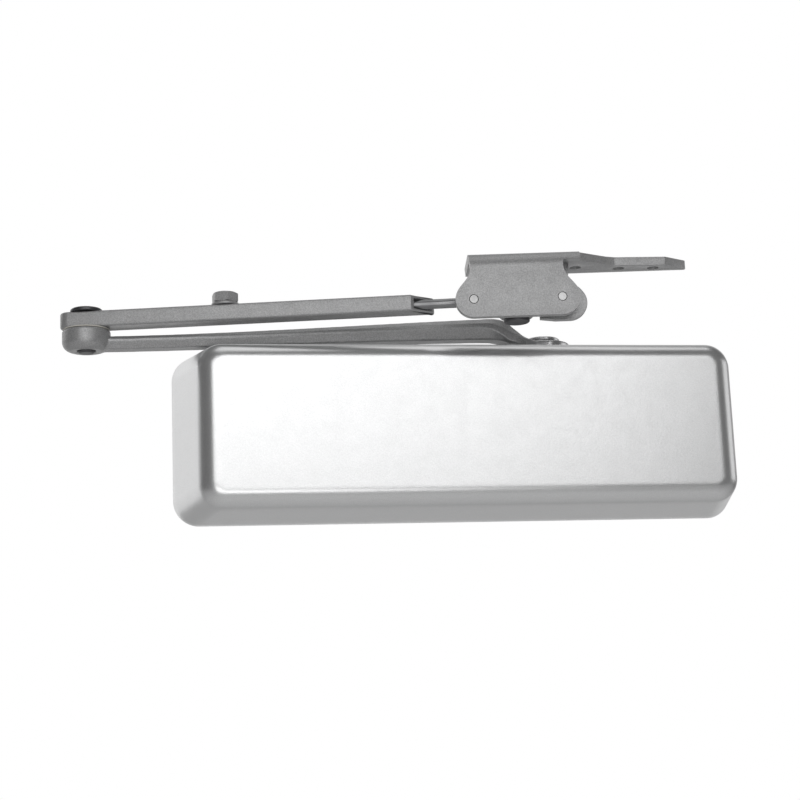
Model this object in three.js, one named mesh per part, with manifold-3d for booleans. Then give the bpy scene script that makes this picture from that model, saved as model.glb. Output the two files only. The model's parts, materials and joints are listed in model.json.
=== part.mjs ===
// Surface-mounted door closer with a folding arm and a soffit bracket.
// Millimetres, +Z up. The origin is the middle of the flat rear face that meets the door:
// +X runs along the body, +Y goes into the door, so the cover's front faces -Y.
import * as THREE from 'three';
import { mergeVertices } from 'three/addons/utils/BufferGeometryUtils.js';
import Module from 'manifold-3d';

const wasm = await Module();
wasm.setup();

// ---------------------------------------------------------------- driving dimensions
const GAP = 0.3; // clearance between pieces that touch or are joined
const RUN_GAP = 0.4; // clearance round a piece that slides or turns

// cover
const COVER_LENGTH = 291; // at the front face
const COVER_HEIGHT = 87; // at the front face
const COVER_DEPTH = 54;
const COVER_WALL = 2;
const COVER_END_FLARE = 13.6; // how far each end leans out by the time it meets the door
const COVER_SIDE_FLARE = 3.8; // the same for the top and the bottom
const COVER_EDGE_RADIUS = 8.6;
const COVER_CORNER_RADIUS = 13;
const COVER_DOOR_GAP = 0.5;

// body casting
const BODY_WALL = 5;
const BODY_FRONT_GAP = 1; // between the casting and the cover's inner face
const BODY_REAR_GAP = 3; // between the cylinder and the door
const BODY_LEFT_SPACE = 11.5; // from the cover's front face edge to the cylinder's left end
const BODY_RIGHT_SPACE = 23.5;
const RIB_HALF_HEIGHT = 16;
const RIB_DEPTH = 6;
const PAD_DEPTH = 12;
const PAD_LENGTH = 32;
const MOUNTING_HOLE_RADIUS = 3.4;
const MOUNTING_HOLE_INSET = 7; // from a pad's upper or lower edge

// spindle, piston and spring
const TEETH = 12;
const JOURNAL_RADIUS = 8;
const PRESSURE_SLOPE = Math.tan(THREE.MathUtils.degToRad(20));
const GEAR_HALF_HEIGHT = 11;
const MAIN_ARM_SWING = 170; // degrees
const BEARING_WALL = 2.4;
const SEAL_HEIGHT = 2.4;
const BOSS_WALL = 4;
const GLAND_HEIGHT = 3;
const PISTON_HEAD = 20; // solid length on the spring's side
const PISTON_TAIL = 17.16; // solid length on the other side
const PISTON_END_SPACE = 8; // between the piston and the right end cap at rest
const RING_WIDTH = 2.4;
const RING_DEPTH = 1.2;
const RING_INSET = 6;
const SPRING_WIRE_RADIUS = 2.2;
const SPRING_SIDE_SPACE = 3.4;
const SPRING_TURNS = 11;
const SEAT_INSET = 26; // from the cylinder's left end to the spring's seat
const SEAT_THICKNESS = 5;
const SEAT_SPIGOT = 6;
const PLUG_LENGTH = 16;
const FLANGE_THICKNESS = 4.7;
const SPANNER_HOLE_RADIUS = 2.2;
const SPANNER_HOLE_DEPTH = 3;
const ORING_RADIUS = 1;
const ADJUSTER_RADIUS = 4;
const ADJUSTER_HEAD_RADIUS = 6;
const ADJUSTER_HEAD_HEIGHT = 4.5;
const ADJUSTER_SOCKET_RADIUS = 2.9;
const ADJUSTER_SOCKET_DEPTH = 3;
const VALVE_RADIUS = 2.5;
const VALVE_BOSS_RADIUS = 5.5;
const VALVE_SLOT_DEPTH = 1.2;
const VALVE_FROM_SPINDLE = { sweep_valve: 22, latch_valve: 38, backcheck_valve: -26 };
const CLIP_THICKNESS = 1.5;
const CLIP_HALF_WIDTH = 12;
const CLIP_FRONT_SPACE = 14; // from the cover's front to the clip's free end
const CLIP_SCREW_RADIUS = 2;
const CLIP_SCREW_HEAD_RADIUS = 4;

// main arm
const ELBOW_OVERHANG = 45.9; // from the cover's end to the elbow's axis
const ARM_REST = -0.7; // degrees from -X, positive toward -Y
const HUB_RADIUS = 15.3;
const HUB_ABOVE_RIM = 0.6;
const ARM_SCREW_HEAD_RADIUS = 10;
const ARM_SCREW_SOCKET_RADIUS = 3.2;
const LOCK_WASHER = 0.8;
const ELBOW_RADIUS = 12.9;
const ELBOW_BELOW_RIM = 2.2;
const ELBOW_EDGE = 5;
const ELBOW_PIN_RADIUS = 4.8;
const ELBOW_PIN_HEAD_RADIUS = 8.6;

// forearm
const FOREARM_ABOVE_RIM = 10.1;
const FOREARM_HEIGHT = 8.7;
const FOREARM_WIDTH = 13;
const FOREARM_WALL = 1.4;
const FOREARM_BACK = 13.8; // from the elbow's axis to the rounded end
const FOREARM_END_EDGE = 1.1; // what is left straight on each side of the rounded end
const TUBE_START = 30;
const TUBE_FRONT_SPACE = 55.6; // from the tube's front corner to the swivel axis
const TUBE_REAR_SPACE = 43.5;
const THRUST_WASHER = 0.6;
const BUSH_WALL = 1.5;
const EYE_WALL = 0.8;
const BOLT_X = 75.4;
const BOLT_ACROSS_FLATS = 12.7;
const BOLT_HEAD_HEIGHT = 5.3;
const BOLT_SHANK_RADIUS = 3.5;
const BOLT_WASHER_RADIUS = 7.4;
const BOLT_WASHER = 1.4;
const BOLT_TURN = 0.35; // radians
const ROD_SPACE = 0.35; // between the round rod and the tube's inner faces
const SLIDER_BACK = 25.4; // from the bolt to the slider's inner end
const SLIDER_FRONT = 20.6;

// bracket: its own frame has the swivel axis at 0,0 and its front plate across -Y
const REACH = 231.1; // elbow axis to swivel axis
const FOREARM_REST = -12.5; // degrees from +X
const BRACKET_REST = -8.5; // degrees from +X
const PLATE = 4.5;
const BRACKET_ABOVE_FOREARM = 19.4;
const BEND_RADIUS = 9;
const LOBE_RADIUS = 9.6;
const LOBE_ABOVE_FOREARM_BOTTOM = 1.8;
const RIVET_X = 23.3;
const NECK_PAST_RIVET = 1.3;
const RIVET_RADIUS = 2.35;
const RIVET_TAIL_OVERHANG = 1.4;
const TONGUE_END = 95.5;
const TONGUE_REAR = 20;
const TONGUE_CHAMFER = 12.5;
const SOFFIT_HOLE_RADIUS = 3.2;
const PIVOT_BLOCK_RADIUS = 9.4;
const PIVOT_BLOCK_CHAMFER = 1.2;
const PIVOT_BUSH_WALL = 1.4;
const SWIVEL_PIN_RADIUS = 3.9;
const SWIVEL_HEAD_RADIUS = 6.9;
const SWIVEL_HEAD_ABOVE_RIM = 2;
const SWIVEL_HEAD_HEIGHT = 2.1;
const STOP_PLATE = 3;
const STOP_PLATE_FRONT = -1;
const STOP_LOBE_PAST_RIVET = 5.2;
const SPACER_RADIUS = 6;
const BUMPER_RADIUS = 7.5;
const BUMPER_THICKNESS = 2.6;

// ---------------------------------------------------------------- sizes that follow
const COVER_END = COVER_LENGTH / 2;
const RIM_TOP = COVER_HEIGHT / 2 + COVER_SIDE_FLARE; // the highest point of the cover
const BORE_RADIUS = (COVER_DEPTH - COVER_WALL - BODY_FRONT_GAP - BODY_REAR_GAP) / 2 - BODY_WALL;
const BORE_Y = -(COVER_DEPTH - COVER_WALL - BODY_FRONT_GAP - BODY_WALL - BORE_RADIUS);
const BODY_RADIUS = BORE_RADIUS + BODY_WALL;
const BODY_LEFT = BODY_LEFT_SPACE - COVER_END;
const BODY_RIGHT = COVER_END - BODY_RIGHT_SPACE;
const RIB_HALF_LENGTH = COVER_END + COVER_END_FLARE / 2 - GAP;
const PAD_HALF_HEIGHT = COVER_HEIGHT / 2 - 8.5;
const PAD_CENTRES = [BODY_LEFT + SEAT_INSET, BODY_RIGHT - 22];
const MOUNTING_HOLE_Z = PAD_HALF_HEIGHT - MOUNTING_HOLE_INSET;
const FLANGE_RADIUS = -BORE_Y - RIB_DEPTH - RUN_GAP;
const CLIP_FRONT = CLIP_FRONT_SPACE - COVER_DEPTH;
const CLIP_SCREW_X = RIB_HALF_LENGTH - 5;
const CLIP_FOOT_START = CLIP_SCREW_X - 5.5;
const BEARING_OUTER = JOURNAL_RADIUS + RUN_GAP + BEARING_WALL;
const SPINDLE_BORE = BEARING_OUTER + GAP;
const BOSS_RADIUS = SPINDLE_BORE + BOSS_WALL;
const BOSS_HALF_HEIGHT = RIM_TOP - 13.3;
const JOURNAL_END = BOSS_HALF_HEIGHT - 3;
const BEARING_HEIGHT = JOURNAL_END - BORE_RADIUS - 1;
const SPINDLE_SQUARE = 1.375 * JOURNAL_RADIUS;
const VALVE_TOP = JOURNAL_END;
const PISTON_RADIUS = BORE_RADIUS - RUN_GAP;
const PITCH_RADIUS = JOURNAL_RADIUS;
const PISTON_TRAVEL = PITCH_RADIUS * THREE.MathUtils.degToRad(MAIN_ARM_SWING);
const MODULE = 2 * PITCH_RADIUS / TEETH;
const PITCH = Math.PI * MODULE;
const ADDENDUM = 0.825 * MODULE;
const DEDENDUM = 1.2 * MODULE;
const TOOTH_THICKNESS = 0.37 * PITCH; // at the pitch line
const GEAR_RADIUS = PITCH_RADIUS + ADDENDUM;
const WINDOW_SPACE = 2; // past the gear at each end of the piston's window
const PISTON_RIGHT = BODY_RIGHT - PLUG_LENGTH - PISTON_END_SPACE;
const WINDOW_RIGHT = PISTON_RIGHT - PISTON_TAIL;
const SPINDLE_X = WINDOW_RIGHT - GEAR_RADIUS - PISTON_TRAVEL - WINDOW_SPACE;
const WINDOW_LEFT = SPINDLE_X - GEAR_RADIUS - WINDOW_SPACE;
const PISTON_LEFT = WINDOW_LEFT - PISTON_HEAD;
const SEAT_X = BODY_LEFT + SEAT_INSET;
const SPRING_RADIUS = BORE_RADIUS - SPRING_WIRE_RADIUS - SPRING_SIDE_SPACE;
const SPRING_RIGHT = PISTON_LEFT - GAP;
const SPRING_LEFT = SEAT_X + GAP;
const RACK_ROOT = BORE_Y + PITCH_RADIUS + DEDENDUM;
const VALVES = Object.entries(VALVE_FROM_SPINDLE).map(([name, offset]) => ({ name, x: SPINDLE_X + offset }));
const HUB_BOTTOM = BOSS_HALF_HEIGHT + GLAND_HEIGHT + 4 * GAP;
const HUB_TOP = RIM_TOP + HUB_ABOVE_RIM;
const COVER_OPENING_RADIUS = 1.1634 * HUB_RADIUS;
const ARM_LENGTH = COVER_END + COVER_END_FLARE + SPINDLE_X + ELBOW_OVERHANG;
const ELBOW_BOTTOM = RIM_TOP - ELBOW_BELOW_RIM;
const FOREARM_BOTTOM = RIM_TOP + FOREARM_ABOVE_RIM;
const ELBOW_TOP = FOREARM_BOTTOM - THRUST_WASHER - 2 * GAP;
const ELBOW_BUSH_OUTER = FOREARM_WIDTH / 2 - EYE_WALL - GAP;
const ELBOW_NECK_RADIUS = ELBOW_BUSH_OUTER - BUSH_WALL - GAP;
const FOREARM_TOP = FOREARM_BOTTOM + FOREARM_HEIGHT;
const FOREARM_END_RADIUS = FOREARM_WIDTH / 2 - FOREARM_END_EDGE;
const TUBE_FRONT_END = REACH - TUBE_FRONT_SPACE;
const TUBE_REAR_END = REACH - TUBE_REAR_SPACE;
const ROD_RADIUS = FOREARM_HEIGHT / 2 - FOREARM_WALL - ROD_SPACE;
const ROD_Z = FOREARM_BOTTOM + FOREARM_HEIGHT / 2;
const SLIDER_HALF_HEIGHT = FOREARM_HEIGHT / 2 - FOREARM_WALL - GAP;
const SLIDER_HALF_WIDTH = FOREARM_WIDTH / 2 - FOREARM_WALL - GAP;
const BRACKET_TOP = FOREARM_TOP + BRACKET_ABOVE_FOREARM;
const PLATE_FRONT = -(PIVOT_BLOCK_RADIUS + PLATE + 2 * GAP);
const LOWER_FACE = BRACKET_TOP - PLATE;
const LOBE_Z = FOREARM_BOTTOM + LOBE_ABOVE_FOREARM_BOTTOM;
const LOBE_BOTTOM = LOBE_Z - LOBE_RADIUS;
const NECK_HALF_WIDTH = RIVET_X + NECK_PAST_RIVET;
const STOP_LOBE_X = RIVET_X + STOP_LOBE_PAST_RIVET;
const SOFFIT_HOLES = [[-14, 9], [TONGUE_END - 61.5, 9], [TONGUE_END - 37.5, 13.2], [TONGUE_END - 18.5, 14.4]];
const SWIVEL_HEAD_BOTTOM = RIM_TOP + SWIVEL_HEAD_ABOVE_RIM;
const BLOCK_BOTTOM = SWIVEL_HEAD_BOTTOM + SWIVEL_HEAD_HEIGHT + GAP;
const BLOCK_TOP = BRACKET_TOP - BEND_RADIUS - 2 * GAP;
const ROD_END = REACH - SWIVEL_PIN_RADIUS - PIVOT_BUSH_WALL - 2 * GAP - 1.1;
const SWIVEL_WASHER_RADIUS = 0.7 - PLATE_FRONT - BEND_RADIUS;

// ---------------------------------------------------------------- materials
const paint = (color, roughness, metalness) =>
  new THREE.MeshStandardMaterial({ color, roughness, metalness });
const silver = () => paint(0xc4c6c8, 0.42, 0.45);
const armGrey = () => paint(0x8f9092, 0.5, 0.4);
const castIron = () => paint(0x4c4e51, 0.7, 0.5);
const steel = () => paint(0x9a9c9f, 0.35, 0.9);
const zinc = () => paint(0xb4b5b3, 0.4, 0.85);
const darkSteel = () => paint(0x4a4b4d, 0.5, 0.8);
const brass = () => paint(0xb08d4a, 0.35, 0.9);
const rubber = () => paint(0x1d1d1e, 0.85, 0);
const nylon = () => paint(0xd8d5cb, 0.55, 0);

// ---------------------------------------------------------------- solids
function signedVolume(position, index) {
  const [a, b, c] = [new THREE.Vector3(), new THREE.Vector3(), new THREE.Vector3()];
  let volume = 0;
  for (let i = 0; i < index.length; i += 3) {
    a.fromBufferAttribute(position, index[i]);
    b.fromBufferAttribute(position, index[i + 1]);
    c.fromBufferAttribute(position, index[i + 2]);
    volume += a.dot(b.cross(c));
  }
  return volume;
}

// A closed three.js geometry as a manifold, with its faces turned outward.
function solid(geometry) {
  const bare = geometry.clone();
  bare.deleteAttribute('normal');
  bare.deleteAttribute('uv');
  const merged = mergeVertices(bare, 1e-4);
  const index = Uint32Array.from(merged.index.array);
  if (signedVolume(merged.attributes.position, index) < 0) index.reverse();
  return new wasm.Manifold(new wasm.Mesh({
    numProp: 3,
    vertProperties: Float32Array.from(merged.attributes.position.array),
    triVerts: index,
  }));
}

const join = (...parts) => parts.reduce((a, b) => a.add(b));
const cut = (base, ...tools) => tools.reduce((a, b) => a.subtract(b), base);

function box([x0, x1], [y0, y1], [z0, z1]) {
  const geometry = new THREE.BoxGeometry(x1 - x0, y1 - y0, z1 - z0);
  return solid(geometry.translate((x0 + x1) / 2, (y0 + y1) / 2, (z0 + z1) / 2));
}

// A cylinder along an axis, from one place to another on it; `at` gives the other two coordinates.
function cylinder(axis, radius, from, to, at = [0, 0], segments = 32) {
  const geometry = new THREE.CylinderGeometry(radius, radius, to - from, segments);
  const middle = (from + to) / 2;
  if (axis === 'x') return solid(geometry.rotateZ(Math.PI / 2).translate(middle, at[0], at[1]));
  if (axis === 'y') return solid(geometry.translate(at[0], middle, at[1]));
  return solid(geometry.rotateX(Math.PI / 2).translate(at[0], at[1], middle));
}

function ring(axis, inner, outer, from, to, at = [0, 0], segments = 32) {
  return cut(cylinder(axis, outer, from, to, at, segments), cylinder(axis, inner, from - 1, to + 1, at, segments));
}

// A profile of [radius, z] points turned about Z, then moved to x, y.
function turned(profile, [x, y] = [0, 0], segments = 32) {
  const points = profile.map(([r, z]) => new THREE.Vector2(r, z));
  return solid(new THREE.LatheGeometry(points, segments).rotateX(Math.PI / 2).translate(x, y, 0));
}

function shapeOf(points) {
  return new THREE.Shape(points.map(([u, v]) => new THREE.Vector2(u, v)));
}

function prism(shape, depth, curveSegments = 8) {
  return new THREE.ExtrudeGeometry(shape, { depth, bevelEnabled: false, curveSegments });
}

// Outlines drawn in plan (XY), in front view (XZ) and in side view (YZ), given their thickness.
const planPrism = (shape, z0, z1) => solid(prism(shape, z1 - z0).translate(0, 0, z0));
const frontPrism = (shape, y0, y1) => solid(prism(shape, y1 - y0).rotateX(Math.PI / 2).translate(0, y1, 0));
const sidePrism = (shape, x0, x1) =>
  solid(prism(shape, x1 - x0).rotateX(Math.PI / 2).rotateZ(Math.PI / 2).translate(x0, 0, 0));

function roundedRectangle(width, height, radius) {
  const [w, h] = [width / 2, height / 2];
  const shape = new THREE.Shape();
  shape.absarc(w - radius, h - radius, radius, 0, Math.PI / 2);
  shape.absarc(radius - w, h - radius, radius, Math.PI / 2, Math.PI);
  shape.absarc(radius - w, radius - h, radius, Math.PI, 1.5 * Math.PI);
  shape.absarc(w - radius, radius - h, radius, 1.5 * Math.PI, 2 * Math.PI);
  return shape;
}

const group = new THREE.Group();

function node(parent, name, manifold, material) {
  const mesh = manifold.getMesh();
  const geometry = new THREE.BufferGeometry();
  geometry.setAttribute('position', new THREE.BufferAttribute(mesh.vertProperties, 3));
  geometry.setIndex(new THREE.BufferAttribute(mesh.triVerts, 1));
  geometry.computeVertexNormals();
  const piece = new THREE.Mesh(geometry, material);
  piece.name = name;
  parent.add(piece);
}

// ---------------------------------------------------------------- cover
// A box with rounded front edges whose sides lean outward from the front to the door.
function leaningBox(length, height, depth, cornerRadius, edgeRadius, front) {
  const geometry = new THREE.ExtrudeGeometry(roundedRectangle(length, height, cornerRadius), {
    depth,
    bevelEnabled: true,
    bevelThickness: edgeRadius,
    bevelSize: edgeRadius,
    bevelOffset: -edgeRadius,
    bevelSegments: 6,
    curveSegments: 6,
  });
  geometry.rotateX(Math.PI / 2).translate(0, front + depth + edgeRadius, 0);
  const position = geometry.attributes.position;
  for (let i = 0; i < position.count; i += 1) {
    const share = (position.getY(i) + COVER_DEPTH) / COVER_DEPTH;
    position.setX(i, position.getX(i) * (1 + 2 * COVER_END_FLARE / COVER_LENGTH * share));
    position.setZ(i, position.getZ(i) * (1 + 2 * COVER_SIDE_FLARE / COVER_HEIGHT * share));
  }
  return solid(geometry);
}

function cover() {
  const reach = COVER_LENGTH;
  const outer = leaningBox(
    COVER_LENGTH, COVER_HEIGHT, COVER_DEPTH, COVER_CORNER_RADIUS, COVER_EDGE_RADIUS, -COVER_DEPTH);
  const inner = leaningBox(
    COVER_LENGTH - 2 * COVER_WALL, COVER_HEIGHT - 2 * COVER_WALL, COVER_DEPTH,
    COVER_CORNER_RADIUS - COVER_WALL, COVER_EDGE_RADIUS - COVER_WALL, COVER_WALL - COVER_DEPTH);
  const behind = box([-reach, reach], [-COVER_DOOR_GAP, reach], [-reach, reach]);
  const opening = join(
    cylinder('z', COVER_OPENING_RADIUS, BOSS_HALF_HEIGHT, COVER_HEIGHT, [SPINDLE_X, BORE_Y]),
    box([SPINDLE_X - COVER_OPENING_RADIUS, SPINDLE_X + COVER_OPENING_RADIUS], [BORE_Y, 1],
      [BOSS_HALF_HEIGHT, COVER_HEIGHT]));
  return cut(outer, inner, behind, opening);
}

function innerHalfLength(y) {
  return COVER_LENGTH / 2 - COVER_WALL + COVER_END_FLARE * (y + COVER_DEPTH) / COVER_DEPTH;
}

// A bent strip on the end of the rib that the cover's end wall snaps over.
function coverClip(side) {
  const foot = -RIB_DEPTH - GAP;
  const outer = (y) => innerHalfLength(y) - GAP - RUN_GAP;
  const points = [
    [CLIP_FOOT_START, foot], [outer(foot), foot], [outer(CLIP_FRONT), CLIP_FRONT],
    [outer(CLIP_FRONT) - CLIP_THICKNESS, CLIP_FRONT], [outer(foot) - CLIP_THICKNESS, foot - CLIP_THICKNESS],
    [CLIP_FOOT_START, foot - CLIP_THICKNESS]];
  const strip = planPrism(shapeOf(points.map(([x, y]) => [side * x, y])), -CLIP_HALF_WIDTH, CLIP_HALF_WIDTH);
  return cut(strip, cylinder('y', CLIP_SCREW_RADIUS + GAP, foot - 2 * CLIP_THICKNESS, foot + 1, [side * CLIP_SCREW_X, 0], 20));
}

function clipScrew(side) {
  const face = -RIB_DEPTH - 2 * GAP - CLIP_THICKNESS;
  const at = [side * CLIP_SCREW_X, 0];
  return join(
    cylinder('y', CLIP_SCREW_RADIUS, face, -1 - GAP, at, 20),
    cylinder('y', CLIP_SCREW_HEAD_RADIUS, face - CLIP_SCREW_RADIUS, face, at, 20));
}

// ---------------------------------------------------------------- body
function bodyCasting() {
  const barrel = cylinder('x', BODY_RADIUS, BODY_LEFT, BODY_RIGHT, [BORE_Y, 0], 40);
  const boss = cylinder('z', BOSS_RADIUS, -BOSS_HALF_HEIGHT, BOSS_HALF_HEIGHT, [SPINDLE_X, BORE_Y]);
  const rib = box([-RIB_HALF_LENGTH, RIB_HALF_LENGTH], [-RIB_DEPTH, 0], [-RIB_HALF_HEIGHT, RIB_HALF_HEIGHT]);
  const pads = PAD_CENTRES.map((x) =>
    box([x - PAD_LENGTH / 2, x + PAD_LENGTH / 2], [-PAD_DEPTH, 0], [-PAD_HALF_HEIGHT, PAD_HALF_HEIGHT]));
  const valveBosses = VALVES.map(({ x }) =>
    cylinder('z', VALVE_BOSS_RADIUS, BORE_RADIUS + 1.5, VALVE_TOP - 2, [x, BORE_Y], 24));
  const valveHoles = VALVES.map(({ x }) =>
    cylinder('z', VALVE_RADIUS + RUN_GAP, BORE_RADIUS + 2, BOSS_HALF_HEIGHT, [x, BORE_Y], 24));
  const screwHoles = PAD_CENTRES.flatMap((x) => [-1, 1].map((side) =>
    cylinder('y', MOUNTING_HOLE_RADIUS, -PAD_DEPTH - 1, 1, [x, side * MOUNTING_HOLE_Z], 24)));
  const clipHoles = [-1, 1].map((side) =>
    cylinder('y', CLIP_SCREW_RADIUS + GAP, -RIB_DEPTH - 1, -1, [side * CLIP_SCREW_X, 0], 20));
  return cut(
    join(barrel, boss, rib, ...pads, ...valveBosses),
    cylinder('x', BORE_RADIUS, BODY_LEFT - 1, BODY_RIGHT + 1, [BORE_Y, 0], 40),
    cylinder('z', SPINDLE_BORE, -BOSS_HALF_HEIGHT - 1, BOSS_HALF_HEIGHT + 1, [SPINDLE_X, BORE_Y]),
    ...valveHoles, ...screwHoles, ...clipHoles);
}

// A plug in the end of the bore; `side` is the way its flange faces.
function endCap(side) {
  const end = side < 0 ? BODY_LEFT : BODY_RIGHT;
  const span = (near, far) => [end + side * near, end + side * far].sort((a, b) => a - b);
  const plug = cylinder('x', BORE_RADIUS - GAP, ...span(-PLUG_LENGTH, GAP + 0.1), [BORE_Y, 0], 40);
  const flange = cylinder('x', FLANGE_RADIUS, ...span(GAP, GAP + FLANGE_THICKNESS), [BORE_Y, 0], 40);
  const groove = ring('x', BORE_RADIUS - GAP - 2 * ORING_RADIUS - 0.4, BORE_RADIUS,
    ...span(-PLUG_LENGTH / 2 - 1.5, -PLUG_LENGTH / 2 + 1.5), [BORE_Y, 0], 40);
  const spanner = [-1, 1].map((z) =>
    cylinder('x', SPANNER_HOLE_RADIUS, ...span(FLANGE_THICKNESS + GAP - SPANNER_HOLE_DEPTH, FLANGE_THICKNESS + 2),
      [BORE_Y, z * (BORE_RADIUS - 4)], 16));
  const screwHole = cylinder('x', ADJUSTER_RADIUS + RUN_GAP, BODY_LEFT - 20, BODY_LEFT + 30, [BORE_Y, 0]);
  const body = cut(join(plug, flange), groove, ...spanner);
  return side < 0 ? cut(body, screwHole) : body;
}

function capSeal(side) {
  const end = side < 0 ? BODY_LEFT : BODY_RIGHT;
  const radius = BORE_RADIUS - GAP - ORING_RADIUS - 0.05;
  const torus = new THREE.TorusGeometry(radius, ORING_RADIUS, 6, 32).rotateY(Math.PI / 2);
  return solid(torus.translate(end - side * PLUG_LENGTH / 2, BORE_Y, 0));
}

function closingSpring() {
  const [left, right] = [SPRING_LEFT + SPRING_WIRE_RADIUS, SPRING_RIGHT - SPRING_WIRE_RADIUS];
  class Helix extends THREE.Curve {
    getPoint(t, target = new THREE.Vector3()) {
      const angle = 2 * Math.PI * SPRING_TURNS * t;
      return target.set(left + (right - left) * t, SPRING_RADIUS * Math.cos(angle), SPRING_RADIUS * Math.sin(angle));
    }
  }
  const wire = new THREE.Shape().absarc(0, 0, SPRING_WIRE_RADIUS, 0, 2 * Math.PI);
  const coil = new THREE.ExtrudeGeometry(wire, {
    extrudePath: new Helix(),
    steps: Math.round(12 * SPRING_TURNS),
    curveSegments: 3,
  });
  return solid(coil.translate(0, BORE_Y, 0));
}

// A nut on the adjuster: turning the adjuster moves it along and changes the spring's preload.
function springSeat() {
  return cut(
    join(
      cylinder('x', BORE_RADIUS - 1.5, SEAT_X - SEAT_THICKNESS, SEAT_X, [BORE_Y, 0]),
      cylinder('x', SPRING_RADIUS - SPRING_WIRE_RADIUS - 1.5, SEAT_X - 0.1, SEAT_X + SEAT_SPIGOT, [BORE_Y, 0])),
    cylinder('x', ADJUSTER_RADIUS + GAP, SEAT_X - 2 * SEAT_THICKNESS, SEAT_X + 2 * SEAT_SPIGOT, [BORE_Y, 0], 24));
}

function springAdjuster() {
  const outside = BODY_LEFT - GAP - FLANGE_THICKNESS - GAP;
  const socket = new THREE.CylinderGeometry(
    ADJUSTER_SOCKET_RADIUS, ADJUSTER_SOCKET_RADIUS, 2 * ADJUSTER_SOCKET_DEPTH, 6).rotateZ(Math.PI / 2);
  return cut(
    join(
      cylinder('x', ADJUSTER_RADIUS, outside - 1, SEAT_X + 2 * SEAT_SPIGOT, [BORE_Y, 0], 24),
      cylinder('x', ADJUSTER_HEAD_RADIUS, outside - ADJUSTER_HEAD_HEIGHT, outside, [BORE_Y, 0], 24)),
    solid(socket.translate(outside - ADJUSTER_HEAD_HEIGHT, BORE_Y, 0)));
}

// ---------------------------------------------------------------- piston and spindle
function piston() {
  const tooth = [
    [-(TOOTH_THICKNESS / 2 + DEDENDUM * PRESSURE_SLOPE), 0.1],
    [-(TOOTH_THICKNESS / 2 - ADDENDUM * PRESSURE_SLOPE), -DEDENDUM - ADDENDUM],
    [TOOTH_THICKNESS / 2 - ADDENDUM * PRESSURE_SLOPE, -DEDENDUM - ADDENDUM],
    [TOOTH_THICKNESS / 2 + DEDENDUM * PRESSURE_SLOPE, 0.1]];
  const first = Math.ceil((WINDOW_LEFT + 1 - SPINDLE_X) / PITCH + 0.4);
  const last = Math.floor((WINDOW_RIGHT - 1 - SPINDLE_X) / PITCH - 0.4);
  const rack = Array.from({ length: last - first + 1 }, (_, k) => {
    const x = SPINDLE_X + (first + k) * PITCH;
    const outline = shapeOf(tooth.map(([u, v]) => [x + u, RACK_ROOT + v]));
    return planPrism(outline, GAP - GEAR_HALF_HEIGHT, GEAR_HALF_HEIGHT - GAP);
  });
  const window = box([WINDOW_LEFT, WINDOW_RIGHT], [BORE_Y - GEAR_RADIUS - 1.4, RACK_ROOT],
    [-BORE_RADIUS, BORE_RADIUS]);
  const groove = ring('x', PISTON_RADIUS - RING_DEPTH - GAP, BORE_RADIUS,
    PISTON_RIGHT - RING_INSET - RING_WIDTH - GAP, PISTON_RIGHT - RING_INSET + GAP, [BORE_Y, 0], 40);
  const body = cylinder('x', PISTON_RADIUS, PISTON_LEFT, PISTON_RIGHT, [BORE_Y, 0], 40);
  return join(cut(body, window, groove), ...rack);
}

function pistonRing() {
  const end = PISTON_RIGHT - RING_INSET;
  return ring('x', PISTON_RADIUS - RING_DEPTH, PISTON_RADIUS, end - RING_WIDTH, end, [BORE_Y, 0], 40);
}

// Straight-sided teeth with a gap facing +Y at rest, which is where a rack tooth stands.
function gear() {
  const root = PITCH_RADIUS - DEDENDUM + 0.1;
  const corner = (radius, half, centre, side) => {
    const angle = centre + side * half / radius;
    return [radius * Math.cos(angle), radius * Math.sin(angle)];
  };
  const [rootHalf, tipHalf] = [DEDENDUM, -ADDENDUM].map((v) => TOOTH_THICKNESS / 2 + v * PRESSURE_SLOPE);
  const outline = Array.from({ length: TEETH }, (_, k) => {
    const centre = (k + 0.5) * 2 * Math.PI / TEETH;
    return [
      corner(root, rootHalf, centre, -1), corner(GEAR_RADIUS, tipHalf, centre, -1),
      corner(GEAR_RADIUS, tipHalf, centre, 1), corner(root, rootHalf, centre, 1)];
  });
  return planPrism(shapeOf(outline.flat()), -GEAR_HALF_HEIGHT, GEAR_HALF_HEIGHT);
}

// Local to the main arm: the spindle's axis is at 0,0 and the arm runs toward -X.
function spindle() {
  const half = SPINDLE_SQUARE / 2;
  return cut(
    join(
      cylinder('z', JOURNAL_RADIUS, -JOURNAL_END + GAP, -GEAR_HALF_HEIGHT + 0.1),
      cylinder('z', JOURNAL_RADIUS, GEAR_HALF_HEIGHT - 0.1, BOSS_HALF_HEIGHT + 0.5),
      gear().rotate([0, 0, -ARM_REST]),
      box([-half, half], [-half, half], [BOSS_HALF_HEIGHT, HUB_TOP - 1])),
    cylinder('z', BOLT_SHANK_RADIUS + GAP, BOSS_HALF_HEIGHT, HUB_TOP));
}

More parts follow.
